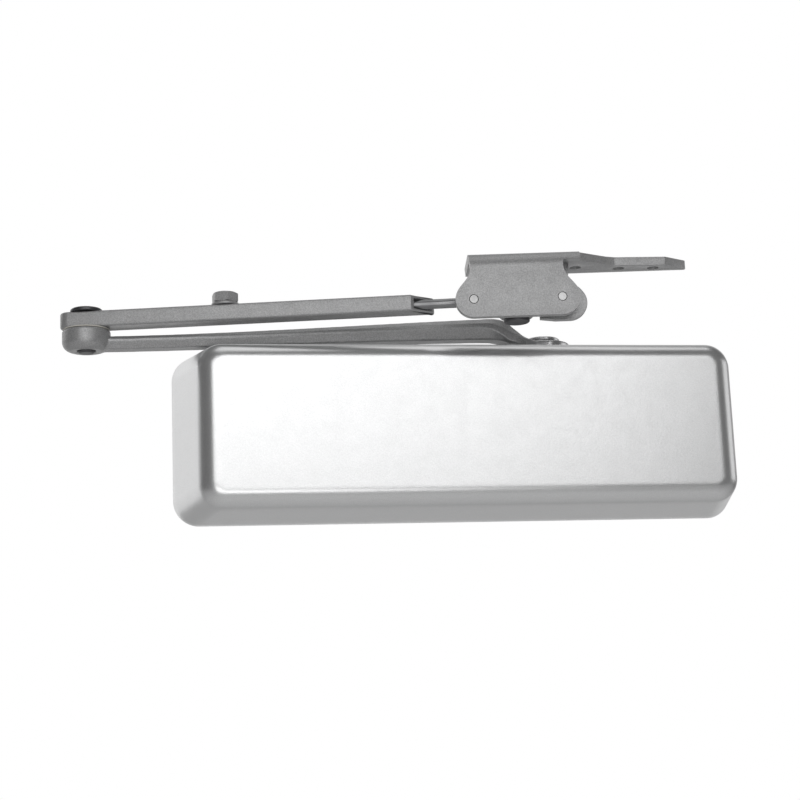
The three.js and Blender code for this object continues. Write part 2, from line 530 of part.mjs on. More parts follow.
// ---------------------------------------------------------------- main arm
// How the bar changes along the arm: `out` is the distance past the hub's edge and `rise` the height of
// the bar's middle above the cover's highest point.
const ARM_STATIONS = [
  { out: -9.3, rise: -3.3, half: 3.6, width: 0.948 * HUB_RADIUS, square: 1 },
  { out: -3.3, rise: -0.1, half: 4.4, width: 0.745 * HUB_RADIUS, square: 1 },
  { out: 0.7, rise: 4, half: 4.2, width: 0.614 * HUB_RADIUS, square: 1 },
  { out: 4.7, rise: 6.5, half: 5.4, width: 8.6, square: 0.8 },
  { out: 9.7, rise: 8.6, half: 5.9, width: 8, square: 0.5 },
  { out: 14.7, rise: 9.1, half: 5.9, width: 7.4, square: 0.2 },
  { out: 22.7, rise: 8.9, half: 5.7, width: 7.2, square: 0 },
  { out: ARM_LENGTH - HUB_RADIUS - 22, rise: 2, half: 3.5, width: 6.3, square: 0 },
  { out: ARM_LENGTH - HUB_RADIUS, rise: 1.6, half: 3.5, width: 6.2, square: 0 }];

function stationAt(out) {
  const next = Math.max(1, ARM_STATIONS.findIndex((station) => station.out >= out - 1e-6));
  const [a, b] = [ARM_STATIONS[next - 1], ARM_STATIONS[next]];
  const t = (out - a.out) / (b.out - a.out);
  const mix = (key) => a[key] + (b[key] - a[key]) * t;
  return { z: RIM_TOP + mix('rise'), half: mix('half'), width: mix('width'), square: mix('square') };
}

// A forged bar: a flat band along its parting line, with sloped faces above and below it.
function armBar() {
  const section = [
    [0.72, 1], [1, 0.5], [1, 0.14], [0.66, -1], [-0.66, -1], [-1, 0.14], [-1, 0.5], [-0.72, 1]];
  const [start, end] = [ARM_STATIONS[0].out, ARM_LENGTH - HUB_RADIUS];
  const steps = 49;
  const geometry = new THREE.ExtrudeGeometry(shapeOf(section), { depth: 1, steps, bevelEnabled: false });
  const position = geometry.attributes.position;
  for (let i = 0; i < position.count; i += 1) {
    const [u, v, t] = [position.getX(i), position.getY(i), position.getZ(i)];
    const out = start + (end - start) * t * t;
    const { z, half, width, square } = stationAt(out);
    const across = u + (Math.sign(u) - u) * square;
    position.setXYZ(i, -HUB_RADIUS - out, across * width, z + v * half);
  }
  return solid(geometry);
}

function mainArm() {
  const hole = SPINDLE_SQUARE / 2 + GAP;
  const boss = [[0, ELBOW_BOTTOM], [ELBOW_RADIUS - ELBOW_EDGE, ELBOW_BOTTOM]];
  for (let k = 1; k <= 5; k += 1) {
    const angle = k * Math.PI / 10;
    boss.push([
      ELBOW_RADIUS - ELBOW_EDGE * (1 - Math.sin(angle)),
      ELBOW_BOTTOM + ELBOW_EDGE * (1 - Math.cos(angle))]);
  }
  boss.push([ELBOW_RADIUS, ELBOW_TOP], [0, ELBOW_TOP]);
  const hub = cylinder('z', HUB_RADIUS, HUB_BOTTOM, HUB_TOP, [0, 0], 40);
  const spotFace = cylinder('z', ARM_SCREW_HEAD_RADIUS + 0.6, HUB_TOP, HUB_TOP + 20, [0, 0], 40);
  return cut(
    join(hub, turned(boss, [-ARM_LENGTH, 0], 40), cut(armBar(), spotFace)),
    box([-hole, hole], [-hole, hole], [HUB_BOTTOM - 1, HUB_TOP + 1]),
    cylinder('z', ELBOW_PIN_RADIUS + GAP, ELBOW_BOTTOM - 1, ELBOW_TOP + 1, [-ARM_LENGTH, 0]));
}

function lockWasher() {
  const bottom = HUB_TOP + GAP;
  return ring('z', BOLT_SHANK_RADIUS + GAP, ARM_SCREW_HEAD_RADIUS - 1, bottom, bottom + LOCK_WASHER);
}

function armScrew() {
  const seat = HUB_TOP + 2 * GAP + LOCK_WASHER;
  const head = [
    [0, seat], [ARM_SCREW_HEAD_RADIUS, seat], [ARM_SCREW_HEAD_RADIUS, seat + 1.3],
    [ARM_SCREW_HEAD_RADIUS - 1, seat + 1.9], [0, seat + 2.1]];
  const socket = new THREE.CylinderGeometry(
    ARM_SCREW_SOCKET_RADIUS, ARM_SCREW_SOCKET_RADIUS, 3, 6).rotateX(Math.PI / 2);
  return cut(
    join(turned(head, [0, 0], 40), cylinder('z', BOLT_SHANK_RADIUS, BOSS_HALF_HEIGHT + 1, seat + 0.1)),
    solid(socket.translate(0, 0, seat + 2.1)));
}

// The pin, washer and bush of the elbow, local to the elbow's axis.
function elbowPin() {
  const seat = FOREARM_TOP + GAP;
  return turned([
    [0, ELBOW_BOTTOM - 1], [ELBOW_PIN_RADIUS - 0.8, ELBOW_BOTTOM - 1], [ELBOW_PIN_RADIUS, ELBOW_BOTTOM - 0.4],
    [ELBOW_PIN_RADIUS, FOREARM_BOTTOM - GAP], [ELBOW_NECK_RADIUS, FOREARM_BOTTOM - GAP],
    [ELBOW_NECK_RADIUS, seat], [ELBOW_PIN_HEAD_RADIUS, seat], [ELBOW_PIN_HEAD_RADIUS, seat + 1.3],
    [ELBOW_PIN_HEAD_RADIUS - 0.7, seat + 1.9], [0, seat + 2]], [-ARM_LENGTH, 0]);
}

function elbowWasher() {
  const bottom = ELBOW_TOP + GAP;
  return ring('z', ELBOW_PIN_RADIUS + GAP, ELBOW_RADIUS - 0.6, bottom, bottom + THRUST_WASHER, [-ARM_LENGTH, 0]);
}

// ---------------------------------------------------------------- forearm
// Local to the elbow's axis, with the tube running toward +X.
function forearm() {
  const half = FOREARM_WIDTH / 2;
  const outline = new THREE.Shape();
  outline.moveTo(TUBE_FRONT_END, -half);
  outline.lineTo(TUBE_REAR_END, half);
  outline.lineTo(FOREARM_END_RADIUS - FOREARM_BACK, half);
  outline.absarc(FOREARM_END_RADIUS - FOREARM_BACK, half - FOREARM_END_RADIUS, FOREARM_END_RADIUS,
    Math.PI / 2, Math.PI);
  outline.absarc(FOREARM_END_RADIUS - FOREARM_BACK, FOREARM_END_RADIUS - half, FOREARM_END_RADIUS,
    Math.PI, 1.5 * Math.PI);
  return cut(
    planPrism(outline, FOREARM_BOTTOM, FOREARM_TOP),
    box([TUBE_START, TUBE_REAR_END + 5], [FOREARM_WALL - half, half - FOREARM_WALL],
      [FOREARM_BOTTOM + FOREARM_WALL, FOREARM_TOP - FOREARM_WALL]),
    cylinder('z', half - EYE_WALL, FOREARM_BOTTOM - 1, FOREARM_TOP + 1),
    cylinder('z', BOLT_SHANK_RADIUS + GAP, ROD_Z, FOREARM_TOP + 1, [BOLT_X, 0]));
}

function elbowBush() {
  return ring('z', ELBOW_BUSH_OUTER - BUSH_WALL, ELBOW_BUSH_OUTER, FOREARM_BOTTOM + GAP, FOREARM_TOP - GAP);
}

function boltWasher() {
  const bottom = FOREARM_TOP + GAP;
  return ring('z', BOLT_SHANK_RADIUS + GAP, BOLT_WASHER_RADIUS, bottom, bottom + BOLT_WASHER, [BOLT_X, 0]);
}

function hexBolt() {
  const seat = FOREARM_TOP + BOLT_WASHER + 2 * GAP;
  const across = BOLT_ACROSS_FLATS / Math.sqrt(3);
  const head = new THREE.CylinderGeometry(across, across, BOLT_HEAD_HEIGHT, 6).rotateX(Math.PI / 2);
  const cone = turned([
    [0, seat - 1], [across + 2, seat - 1], [across + 2, seat + BOLT_HEAD_HEIGHT - 2],
    [across - 0.9, seat + BOLT_HEAD_HEIGHT], [0, seat + BOLT_HEAD_HEIGHT]], [BOLT_X, 0]);
  const tip = ROD_Z + SLIDER_HALF_HEIGHT + GAP;
  return join(
    solid(head.rotateZ(BOLT_TURN).translate(BOLT_X, 0, seat + BOLT_HEAD_HEIGHT / 2)).intersect(cone),
    cylinder('z', BOLT_SHANK_RADIUS, tip, seat + 0.1, [BOLT_X, 0], 24));
}

// The rod's slider inside the tube, its round bar and the block that turns on the swivel pin.
function adjustingRod() {
  const slider = box([BOLT_X - SLIDER_BACK, BOLT_X + SLIDER_FRONT], [-SLIDER_HALF_WIDTH, SLIDER_HALF_WIDTH],
    [ROD_Z - SLIDER_HALF_HEIGHT, ROD_Z + SLIDER_HALF_HEIGHT]);
  return join(slider, cylinder('x', ROD_RADIUS, BOLT_X + SLIDER_FRONT - 1, ROD_END, [0, ROD_Z], 24));
}

function pivotBlock() {
  const socket = cylinder('x', ROD_RADIUS + GAP, REACH - PIVOT_BLOCK_RADIUS - 1, ROD_END + GAP, [0, ROD_Z], 24);
  const [inner, outer] = [PIVOT_BLOCK_RADIUS - PIVOT_BLOCK_CHAMFER, PIVOT_BLOCK_RADIUS];
  return cut(
    turned([
      [0, BLOCK_BOTTOM], [inner, BLOCK_BOTTOM], [outer, BLOCK_BOTTOM + PIVOT_BLOCK_CHAMFER],
      [outer, BLOCK_TOP - PIVOT_BLOCK_CHAMFER], [inner, BLOCK_TOP], [0, BLOCK_TOP]], [REACH, 0], 40),
    cylinder('z', SWIVEL_PIN_RADIUS + 2 * GAP + PIVOT_BUSH_WALL, BLOCK_BOTTOM - 1, BLOCK_TOP + 1, [REACH, 0]),
    socket);
}

function swivelWasher() {
  return ring('z', SWIVEL_PIN_RADIUS + GAP, SWIVEL_WASHER_RADIUS, BLOCK_TOP + GAP, LOWER_FACE - GAP, [0, 0], 24);
}

function pivotBush() {
  const inner = SWIVEL_PIN_RADIUS + GAP;
  return ring('z', inner, inner + PIVOT_BUSH_WALL, BLOCK_BOTTOM + GAP, BLOCK_TOP - GAP, [REACH, 0]);
}

// ---------------------------------------------------------------- bracket
// Front view of a plate that narrows upward from a round lobe: the right-hand half of it.
function lobedSide(shape, lobeX, neckX, top) {
  shape.lineTo(lobeX, LOBE_BOTTOM);
  shape.absarc(lobeX, LOBE_Z, LOBE_RADIUS, -Math.PI / 2, Math.PI / 5);
  shape.bezierCurveTo(lobeX + 5, LOBE_Z + 10, neckX - 1, LOBE_Z + 12, neckX, top - 7);
  shape.lineTo(neckX + 0.6, top);
}

function frontOutline(side) {
  const shape = new THREE.Shape();
  shape.moveTo(-1, LOBE_BOTTOM);
  lobedSide(shape, RIVET_X, NECK_HALF_WIDTH, BRACKET_TOP + 1);
  shape.lineTo(-1, BRACKET_TOP + 1);
  const half = frontPrism(shape, PLATE_FRONT - 1, TONGUE_REAR + 1);
  return side > 0 ? half : half.mirror([1, 0, 0]);
}

function bracketPlate() {
  const fold = new THREE.Shape();
  fold.moveTo(PLATE_FRONT, LOBE_BOTTOM - 1);
  fold.lineTo(PLATE_FRONT + PLATE, LOBE_BOTTOM - 1);
  fold.absarc(PLATE_FRONT + BEND_RADIUS, BRACKET_TOP - BEND_RADIUS, BEND_RADIUS - PLATE, Math.PI, Math.PI / 2, true);
  fold.lineTo(TONGUE_REAR, LOWER_FACE);
  fold.lineTo(TONGUE_REAR, BRACKET_TOP);
  fold.absarc(PLATE_FRONT + BEND_RADIUS, BRACKET_TOP - BEND_RADIUS, BEND_RADIUS, Math.PI / 2, Math.PI);
  const left = -NECK_HALF_WIDTH - LOBE_RADIUS;
  const plan = planPrism(shapeOf([
    [left, PLATE_FRONT - 1], [NECK_HALF_WIDTH + LOBE_RADIUS, PLATE_FRONT - 1], [NECK_HALF_WIDTH + LOBE_RADIUS, -5.5],
    [TONGUE_END - 45.5, 4.5], [TONGUE_END - 40.5, 6.4], [TONGUE_END - TONGUE_CHAMFER, 8.4],
    [TONGUE_END, TONGUE_REAR - 2.5], [TONGUE_END, TONGUE_REAR], [left, TONGUE_REAR]]),
  LOBE_BOTTOM - 1, BRACKET_TOP + 1);
  const tongue = box([NECK_HALF_WIDTH - 1, TONGUE_END + 1], [PLATE_FRONT + 2, TONGUE_REAR + 1],
    [LOWER_FACE - 1, BRACKET_TOP + 1]);
  const outline = join(frontOutline(1), frontOutline(-1), tongue);
  const rivetHoles = [-1, 1].map((side) =>
    cylinder('y', RIVET_RADIUS + GAP, PLATE_FRONT - 1, PLATE_FRONT + PLATE + 1, [side * RIVET_X, LOBE_Z], 20));
  const screwHoles = SOFFIT_HOLES.map((at) =>
    cylinder('z', SOFFIT_HOLE_RADIUS, LOWER_FACE - 1, BRACKET_TOP + 1, at, 24));
  return cut(
    sidePrism(fold, left - 1, TONGUE_END + 1).intersect(plan).intersect(outline),
    cylinder('z', SWIVEL_PIN_RADIUS + GAP, LOWER_FACE - 1, BRACKET_TOP + 1),
    ...rivetHoles, ...screwHoles);
}

function stopPlate() {
  const shape = new THREE.Shape();
  shape.moveTo(PIVOT_BLOCK_RADIUS + 3, LOBE_BOTTOM + 1);
  lobedSide(shape, STOP_LOBE_X, NECK_HALF_WIDTH + 4, LOWER_FACE - GAP);
  shape.lineTo(PIVOT_BLOCK_RADIUS + 3, LOWER_FACE - GAP);
  return cut(
    frontPrism(shape, STOP_PLATE_FRONT, STOP_PLATE_FRONT + STOP_PLATE),
    cylinder('y', RIVET_RADIUS + GAP, STOP_PLATE_FRONT - 1, STOP_PLATE_FRONT + STOP_PLATE + 1, [RIVET_X, LOBE_Z], 20));
}

function rivet(side) {
  const back = side > 0 ? STOP_PLATE_FRONT + STOP_PLATE + GAP : PLATE_FRONT + PLATE + 2 * GAP + BUMPER_THICKNESS;
  const at = [side * RIVET_X, LOBE_Z];
  return join(
    cylinder('y', RIVET_RADIUS, PLATE_FRONT - 0.15, back + 0.1, at, 20),
    cylinder('y', RIVET_RADIUS + RIVET_TAIL_OVERHANG, back, back + 1, at, 20));
}

function stopSpacer() {
  const front = PLATE_FRONT + PLATE + GAP;
  return ring('y', RIVET_RADIUS + GAP, SPACER_RADIUS, front, STOP_PLATE_FRONT - GAP, [RIVET_X, LOBE_Z], 28);
}

function bumperDisc() {
  const front = PLATE_FRONT + PLATE + GAP;
  return ring('y', RIVET_RADIUS + GAP, BUMPER_RADIUS, front, front + BUMPER_THICKNESS, [-RIVET_X, LOBE_Z], 28);
}

function swivelPin() {
  const headTop = SWIVEL_HEAD_BOTTOM + SWIVEL_HEAD_HEIGHT;
  return turned([
    [0, SWIVEL_HEAD_BOTTOM], [SWIVEL_HEAD_RADIUS - 0.5, SWIVEL_HEAD_BOTTOM],
    [SWIVEL_HEAD_RADIUS, SWIVEL_HEAD_BOTTOM + 0.5], [SWIVEL_HEAD_RADIUS, headTop], [SWIVEL_PIN_RADIUS, headTop],
    [SWIVEL_PIN_RADIUS, BRACKET_TOP - 0.4], [0, BRACKET_TOP - 0.4]]);
}

// ---------------------------------------------------------------- assembly
const radians = THREE.MathUtils.degToRad;

node(group, 'cover', cover(), silver());
node(group, 'body_casting', bodyCasting(), castIron());
node(group, 'left_end_cap', endCap(-1), castIron());
node(group, 'right_end_cap', endCap(1), castIron());
node(group, 'left_cap_seal', capSeal(-1), rubber());
node(group, 'right_cap_seal', capSeal(1), rubber());
node(group, 'closing_spring', closingSpring(), darkSteel());
node(group, 'spring_seat', springSeat(), steel());
node(group, 'spring_adjuster', springAdjuster(), zinc());
node(group, 'piston', piston(), steel());
node(group, 'piston_ring', pistonRing(), nylon());

const spindleAt = [SPINDLE_X, BORE_Y];
const bearing = (z) => ring('z', JOURNAL_RADIUS + RUN_GAP, BEARING_OUTER, z, z + BEARING_HEIGHT, spindleAt);
node(group, 'upper_bearing', bearing(JOURNAL_END - BEARING_HEIGHT), brass());
node(group, 'lower_bearing', bearing(-JOURNAL_END), brass());
const sealBottom = JOURNAL_END + GAP;
node(group, 'spindle_seal',
  ring('z', JOURNAL_RADIUS + RUN_GAP, BEARING_OUTER, sealBottom, sealBottom + SEAL_HEIGHT, spindleAt), rubber());
const glandBottom = BOSS_HALF_HEIGHT + GAP;
node(group, 'gland_nut',
  cut(
    cylinder('z', BOSS_RADIUS, glandBottom, glandBottom + GLAND_HEIGHT, spindleAt, 6),
    cylinder('z', JOURNAL_RADIUS + 2 * GAP, glandBottom - 1, glandBottom + GLAND_HEIGHT + 1, spindleAt)), zinc());
node(group, 'lower_cap',
  join(
    cylinder('z', BEARING_OUTER, -glandBottom - 0.1, -JOURNAL_END - GAP, spindleAt),
    cylinder('z', BOSS_RADIUS, -glandBottom - GLAND_HEIGHT, -glandBottom, spindleAt, 6)), zinc());

for (const { name, x } of VALVES) {
  const slot = box([x - 4, x + 4], [BORE_Y - 0.5, BORE_Y + 0.5], [VALVE_TOP - VALVE_SLOT_DEPTH, VALVE_TOP + 1]);
  const screw = cylinder('z', VALVE_RADIUS, BORE_RADIUS + 2 + GAP, VALVE_TOP, [x, BORE_Y], 24);
  node(group, name, cut(screw, slot), brass());
}
for (const [name, side] of [['left', -1], ['right', 1]]) {
  node(group, `${name}_cover_clip`, coverClip(side), zinc());
  node(group, `${name}_clip_screw`, clipScrew(side), zinc());
}

const armGroup = new THREE.Group();
armGroup.position.set(SPINDLE_X, BORE_Y, 0);
armGroup.rotation.z = radians(ARM_REST);
group.add(armGroup);
node(armGroup, 'spindle', spindle(), steel());
node(armGroup, 'main_arm', mainArm(), armGrey());
node(armGroup, 'arm_lock_washer', lockWasher(), zinc());
node(armGroup, 'arm_screw', armScrew(), zinc());
node(armGroup, 'elbow_pin', elbowPin(), darkSteel());
node(armGroup, 'elbow_washer', elbowWasher(), nylon());

const forearmGroup = new THREE.Group();
forearmGroup.position.set(-ARM_LENGTH, 0, 0);
forearmGroup.rotation.z = radians(FOREARM_REST - ARM_REST);
armGroup.add(forearmGroup);
node(forearmGroup, 'forearm_tube', forearm(), armGrey());
node(forearmGroup, 'elbow_bush', elbowBush(), brass());
node(forearmGroup, 'bolt_washer', boltWasher(), armGrey());
node(forearmGroup, 'clamp_bolt', hexBolt(), armGrey());
node(forearmGroup, 'adjusting_rod', adjustingRod(), armGrey());
node(forearmGroup, 'pivot_block', pivotBlock(), armGrey());
node(forearmGroup, 'pivot_bush', pivotBush(), brass());

const bracketGroup = new THREE.Group();
bracketGroup.position.set(REACH, 0, 0);
bracketGroup.rotation.z = radians(BRACKET_REST - FOREARM_REST);
forearmGroup.add(bracketGroup);
node(bracketGroup, 'bracket_plate', bracketPlate(), armGrey());
node(bracketGroup, 'stop_plate', stopPlate(), armGrey());
node(bracketGroup, 'left_rivet', rivet(-1), zinc());
node(bracketGroup, 'right_rivet', rivet(1), zinc());
node(bracketGroup, 'stop_spacer', stopSpacer(), steel());
node(bracketGroup, 'bumper_disc', bumperDisc(), rubber());
node(bracketGroup, 'swivel_pin', swivelPin(), darkSteel());
node(bracketGroup, 'swivel_washer', swivelWasher(), steel());

export default group;
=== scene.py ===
"""Visual model of a surface-mounted door closer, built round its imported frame.

Every length is in metres, in the frame's own axes: X along the closer, Y into the door, Z up.
"""

import json
import logging
import math
from dataclasses import dataclass, field
from enum import Enum

import bmesh
import bpy
import numpy as np
from mathutils import Matrix, Vector


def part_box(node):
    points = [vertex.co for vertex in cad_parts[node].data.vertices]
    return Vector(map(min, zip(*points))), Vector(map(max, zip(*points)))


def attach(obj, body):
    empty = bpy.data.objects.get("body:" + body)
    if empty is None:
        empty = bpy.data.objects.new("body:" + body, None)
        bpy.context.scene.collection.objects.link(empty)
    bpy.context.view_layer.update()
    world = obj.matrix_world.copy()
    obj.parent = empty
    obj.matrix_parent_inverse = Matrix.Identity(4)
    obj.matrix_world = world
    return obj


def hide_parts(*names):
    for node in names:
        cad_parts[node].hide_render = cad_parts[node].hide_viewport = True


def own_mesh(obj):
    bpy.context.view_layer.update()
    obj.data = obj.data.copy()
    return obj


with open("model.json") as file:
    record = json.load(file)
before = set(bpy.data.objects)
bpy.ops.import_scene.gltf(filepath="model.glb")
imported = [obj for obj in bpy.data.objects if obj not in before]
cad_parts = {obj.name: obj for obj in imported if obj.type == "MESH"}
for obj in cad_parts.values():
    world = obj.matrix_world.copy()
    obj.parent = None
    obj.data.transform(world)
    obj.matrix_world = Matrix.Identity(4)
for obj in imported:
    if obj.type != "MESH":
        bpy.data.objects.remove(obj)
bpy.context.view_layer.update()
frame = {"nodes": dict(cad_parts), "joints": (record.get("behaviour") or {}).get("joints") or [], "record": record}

MM = 0.001
GAP = 0.3 * MM
PAST = 1 * MM
LOG = logging.getLogger("door_closer")


# ------------------------------------------------------------------ curves and grids
class Facing(Enum):
    """How a flat outline lies: the world axes of its first, second and thickness directions."""

    PLAN = (0, 1, 2)
    FRONT = (0, 2, 1)
    SIDE = (1, 2, 0)


@dataclass(frozen=True)
class Placement:
    """A piece's own origin and turn in plan."""

    x: float = 0.0
    y: float = 0.0
    turn: float = 0.0

    def apply(self, points: np.ndarray) -> np.ndarray:
        """Turn points about Z and move them into the frame.

        Args:
            points: Array whose last axis holds x, y and z in the piece's own axes.

        Returns:
            The same array of points in the frame's axes.
        """
        cos, sin = math.cos(self.turn), math.sin(self.turn)
        x, y, z = points[..., 0], points[..., 1], points[..., 2]
        return np.stack([self.x + x * cos - y * sin, self.y + x * sin + y * cos, z], axis=-1)


def arc(centre: tuple[float, float], radius: float, start: float, end: float, steps: int) -> np.ndarray:
    """Work out points on an arc: centre + radius * (cos angle, sin angle).

    Args:
        centre: Middle of the arc.
        radius: Radius of the arc.
        start: First angle in degrees.
        end: Last angle in degrees.
        steps: Number of equal steps between them.

    Returns:
        Array of steps + 1 points.
    """
    angle = np.radians(np.linspace(start, end, steps + 1))
    return np.stack([centre[0] + radius * np.cos(angle), centre[1] + radius * np.sin(angle)], axis=1)


def fillet(corners: np.ndarray, radius: float, steps: int = 5, closed: bool = True) -> np.ndarray:
    """Replace each corner of a polygon by an arc that touches both of its sides.

    The arc starts radius / tan(half the corner's angle) along each side, and its points turn evenly from
    the first touching point to the second about the centre on the corner's bisector.

    Args:
        corners: Corner points in order.
        radius: Arc radius, made smaller where a side is too short for it.
        steps: Steps in each arc.
        closed: Whether the last corner joins the first.

    Returns:
        Points of the rounded outline.
    """
    corners = np.asarray(corners, float)
    back = np.roll(corners, 1, axis=0) - corners
    ahead = np.roll(corners, -1, axis=0) - corners
    back_length = np.linalg.norm(back, axis=1, keepdims=True)
    ahead_length = np.linalg.norm(ahead, axis=1, keepdims=True)
    back, ahead = back / back_length, ahead / ahead_length
    half = 0.5 * np.arccos(np.clip((back * ahead).sum(axis=1, keepdims=True), -1.0, 1.0))
    along = np.minimum(radius / np.tan(half), 0.45 * np.minimum(back_length, ahead_length))
    true_radius = along * np.tan(half)
    bisector = back + ahead
    bisector /= np.maximum(np.linalg.norm(bisector, axis=1, keepdims=True), 1e-9)
    centre = corners + bisector * true_radius / np.sin(half)
    first = corners + back * along - centre
    last = corners + ahead * along - centre
    sweep = (math.pi - 2.0 * half)[:, None]
    share = np.linspace(0.0, 1.0, steps + 1)[None, :, None]
    turn = np.maximum(np.sin(sweep), 1e-9)
    points = (np.sin((1 - share) * sweep) * first[:, None] + np.sin(share * sweep) * last[:, None]) / turn
    points = points + centre[:, None]
    if closed:
        return points.reshape(-1, 2)
    return np.concatenate([corners[:1], points[1:-1].reshape(-1, 2), corners[-1:]])


def counter_clockwise(outline: np.ndarray) -> np.ndarray:
    """Return the outline turned so that its area, the sum of the cross products of its sides, is positive."""
    x, y = outline[:, 0], outline[:, 1]
    area = np.sum(x * np.roll(y, -1) - y * np.roll(x, -1))
    return outline if area > 0 else outline[::-1]


def inset(outline: np.ndarray, distance: float) -> np.ndarray:
    """Move every point of an outline inwards by a distance.

    Each point moves along n1 + n2, the inward normals of its two sides, over 1 + n1 . n2.

    Args:
        outline: Counter-clockwise points.
        distance: How far each side moves inwards.

    Returns:
        The smaller outline, point for point.
    """
    side = np.roll(outline, -1, axis=0) - outline
    normal = np.stack([-side[:, 1], side[:, 0]], axis=1)
    normal /= np.maximum(np.linalg.norm(side, axis=1, keepdims=True), 1e-12)
    before = np.roll(normal, 1, axis=0)
    return outline + distance * (normal + before) / (1.0 + (normal * before).sum(axis=1, keepdims=True))


def rectangle(x: tuple[float, float], y: tuple[float, float]) -> np.ndarray:
    """Return the four corners of an upright rectangle, counter-clockwise."""
    return np.array([[x[0], y[0]], [x[1], y[0]], [x[1], y[1]], [x[0], y[1]]])


def smooth_through(at: np.ndarray, known: np.ndarray, values: np.ndarray) -> np.ndarray:
    """Carry a smooth curve through known values without overshoot.

    The slope at each known place is the harmonic mean of its two chords where they have the same sign and
    zero elsewhere, and each stretch is the cubic with those end values and slopes.

    Args:
        at: Places wanted.
        known: Places with a known value, rising.
        values: The known values.

    Returns:
        The value at each wanted place.
    """
    gap = np.diff(known)
    chord = np.diff(values) / gap
    product = chord[:-1] * chord[1:]
    mean = 2.0 * product / np.where(product > 0, chord[:-1] + chord[1:], 1.0)
    slope = np.concatenate([chord[:1], np.where(product > 0, mean, 0.0), chord[-1:]])
    i = np.clip(np.searchsorted(known, at, side="right") - 1, 0, len(gap) - 1)
    t = (at - known[i]) / gap[i]
    low, high = values[i], values[i + 1]
    rise_low, rise_high = slope[i] * gap[i], slope[i + 1] * gap[i]
    square, cube = t * t, t * t * t
    return ((2 * cube - 3 * square + 1) * low + (cube - 2 * square + t) * rise_low
            + (3 * square - 2 * cube) * high + (cube - square) * rise_high)


def grid_faces(rows: int, columns: int, looped: bool) -> np.ndarray:
    """Number the four-sided faces between rings of points.

    Args:
        rows: Number of rings.
        columns: Points in each ring; the last joins the first.
        looped: Whether the last ring joins the first.

    Returns:
        Array of four point numbers for each face.
    """
    row = np.arange(rows if looped else rows - 1)[:, None]
    column = np.arange(columns)[None, :]
    next_row, next_column = (row + 1) % rows, (column + 1) % columns
    quad = [row * columns + column, row * columns + next_column,
            next_row * columns + next_column, next_row * columns + column]
    return np.stack(quad, axis=-1).reshape(-1, 4)


# ------------------------------------------------------------------ making and finishing solids
def outward(mesh: bpy.types.Mesh) -> None:
    """Turn every face of a closed mesh outwards."""
    work = bmesh.new()
    work.from_mesh(mesh)
    bmesh.ops.remove_doubles(work, verts=work.verts, dist=1e-7)
    bmesh.ops.recalc_face_normals(work, faces=work.faces)
    work.to_mesh(mesh)
    work.free()


def solid_of_rings(name: str, rings: np.ndarray, looped: bool = False) -> bpy.types.Object:
    """Make a closed solid from a stack of rings.

    Args:
        name: The piece's name.
        rings: Array of rings, points and x, y, z.
        looped: Whether the last ring joins the first; otherwise both ends are closed flat.

    Returns:
        The new object.
    """
    rows, columns = rings.shape[:2]
    faces = grid_faces(rows, columns, looped).tolist()
    if not looped:
        faces.append(list(range(columns))[::-1])
        faces.append(list(range((rows - 1) * columns, rows * columns)))
    mesh = bpy.data.meshes.new(name)
    mesh.from_pydata(rings.reshape(-1, 3).tolist(), [], faces)
    mesh.update()
    outward(mesh)
    piece = bpy.data.objects.new(name, mesh)
    bpy.context.scene.collection.objects.link(piece)
    return piece


def lathe(name: str, profile: np.ndarray, centre: tuple[float, float, float], facing: Facing = Facing.PLAN,
          segments: int = 96, looped: bool = False, place: Placement = Placement()) -> bpy.types.Object:
    """Turn a profile about an axis: each point is radius * (cos angle, sin angle) and its height.

    Args:
        name: The piece's name.
        profile: Points of radius and height along the axis.
        centre: Where the axis passes, in the piece's own axes.
        facing: The plane the circles lie in.
        segments: Steps round the axis.
        looped: Whether the profile closes on itself, as in a washer.
        place: The piece's own origin and turn.

    Returns:
        The new object.
    """
    angle = np.linspace(0.0, 2.0 * math.pi, segments, endpoint=False)[None, :]
    radius, height = profile[:, :1], profile[:, 1:]
    first, second, thick = facing.value
    rings = np.empty((len(profile), segments, 3))
    rings[..., first] = centre[first] + radius * np.cos(angle)
    rings[..., second] = centre[second] + radius * np.sin(angle)
    rings[..., thick] = centre[thick] + height
    return solid_of_rings(name, place.apply(rings), looped)


def turned(name: str, profile: list[tuple[float, float]], centre: tuple[float, float, float],
           edge: float = 0.3 * MM, facing: Facing = Facing.PLAN, segments: int = 96,
           place: Placement = Placement()) -> bpy.types.Object:
    """Turn a solid whose profile corners are rounded; the ends are flat discs.

    Args:
        name: The piece's name.
        profile: Radius and height at each corner, from one end to the other.
        centre: Where the axis passes.
        edge: Radius on each corner.
        facing: The plane the circles lie in.
        segments: Steps round the axis.
        place: The piece's own origin and turn.

    Returns:
        The new object.
    """
    first, last = profile[0], profile[-1]
    corners = np.array([(first[0] * 0.05, first[1]), *profile, (last[0] * 0.05, last[1])])
    return lathe(name, fillet(corners, edge, 4, closed=False), centre, facing, segments, place=place)


def washer(name: str, inner: float, outer: float, low: float, high: float, centre: tuple[float, float, float],
           edge: float = 0.15 * MM, facing: Facing = Facing.PLAN,
           place: Placement = Placement()) -> bpy.types.Object:
    """Turn a ring of rectangular section with rounded corners.

    Args:
        name: The piece's name.
        inner: Inner radius.
        outer: Outer radius.
        low: Start along the axis, from the centre.
        high: End along the axis, from the centre.
        centre: Where the axis passes.
        edge: Radius on each corner.
        facing: The plane the circles lie in.
        place: The piece's own origin and turn.

    Returns:
        The new object.
    """
    section = fillet(rectangle((inner, outer), (low, high)), edge, 4)
    return lathe(name, section, centre, facing, looped=True, place=place)


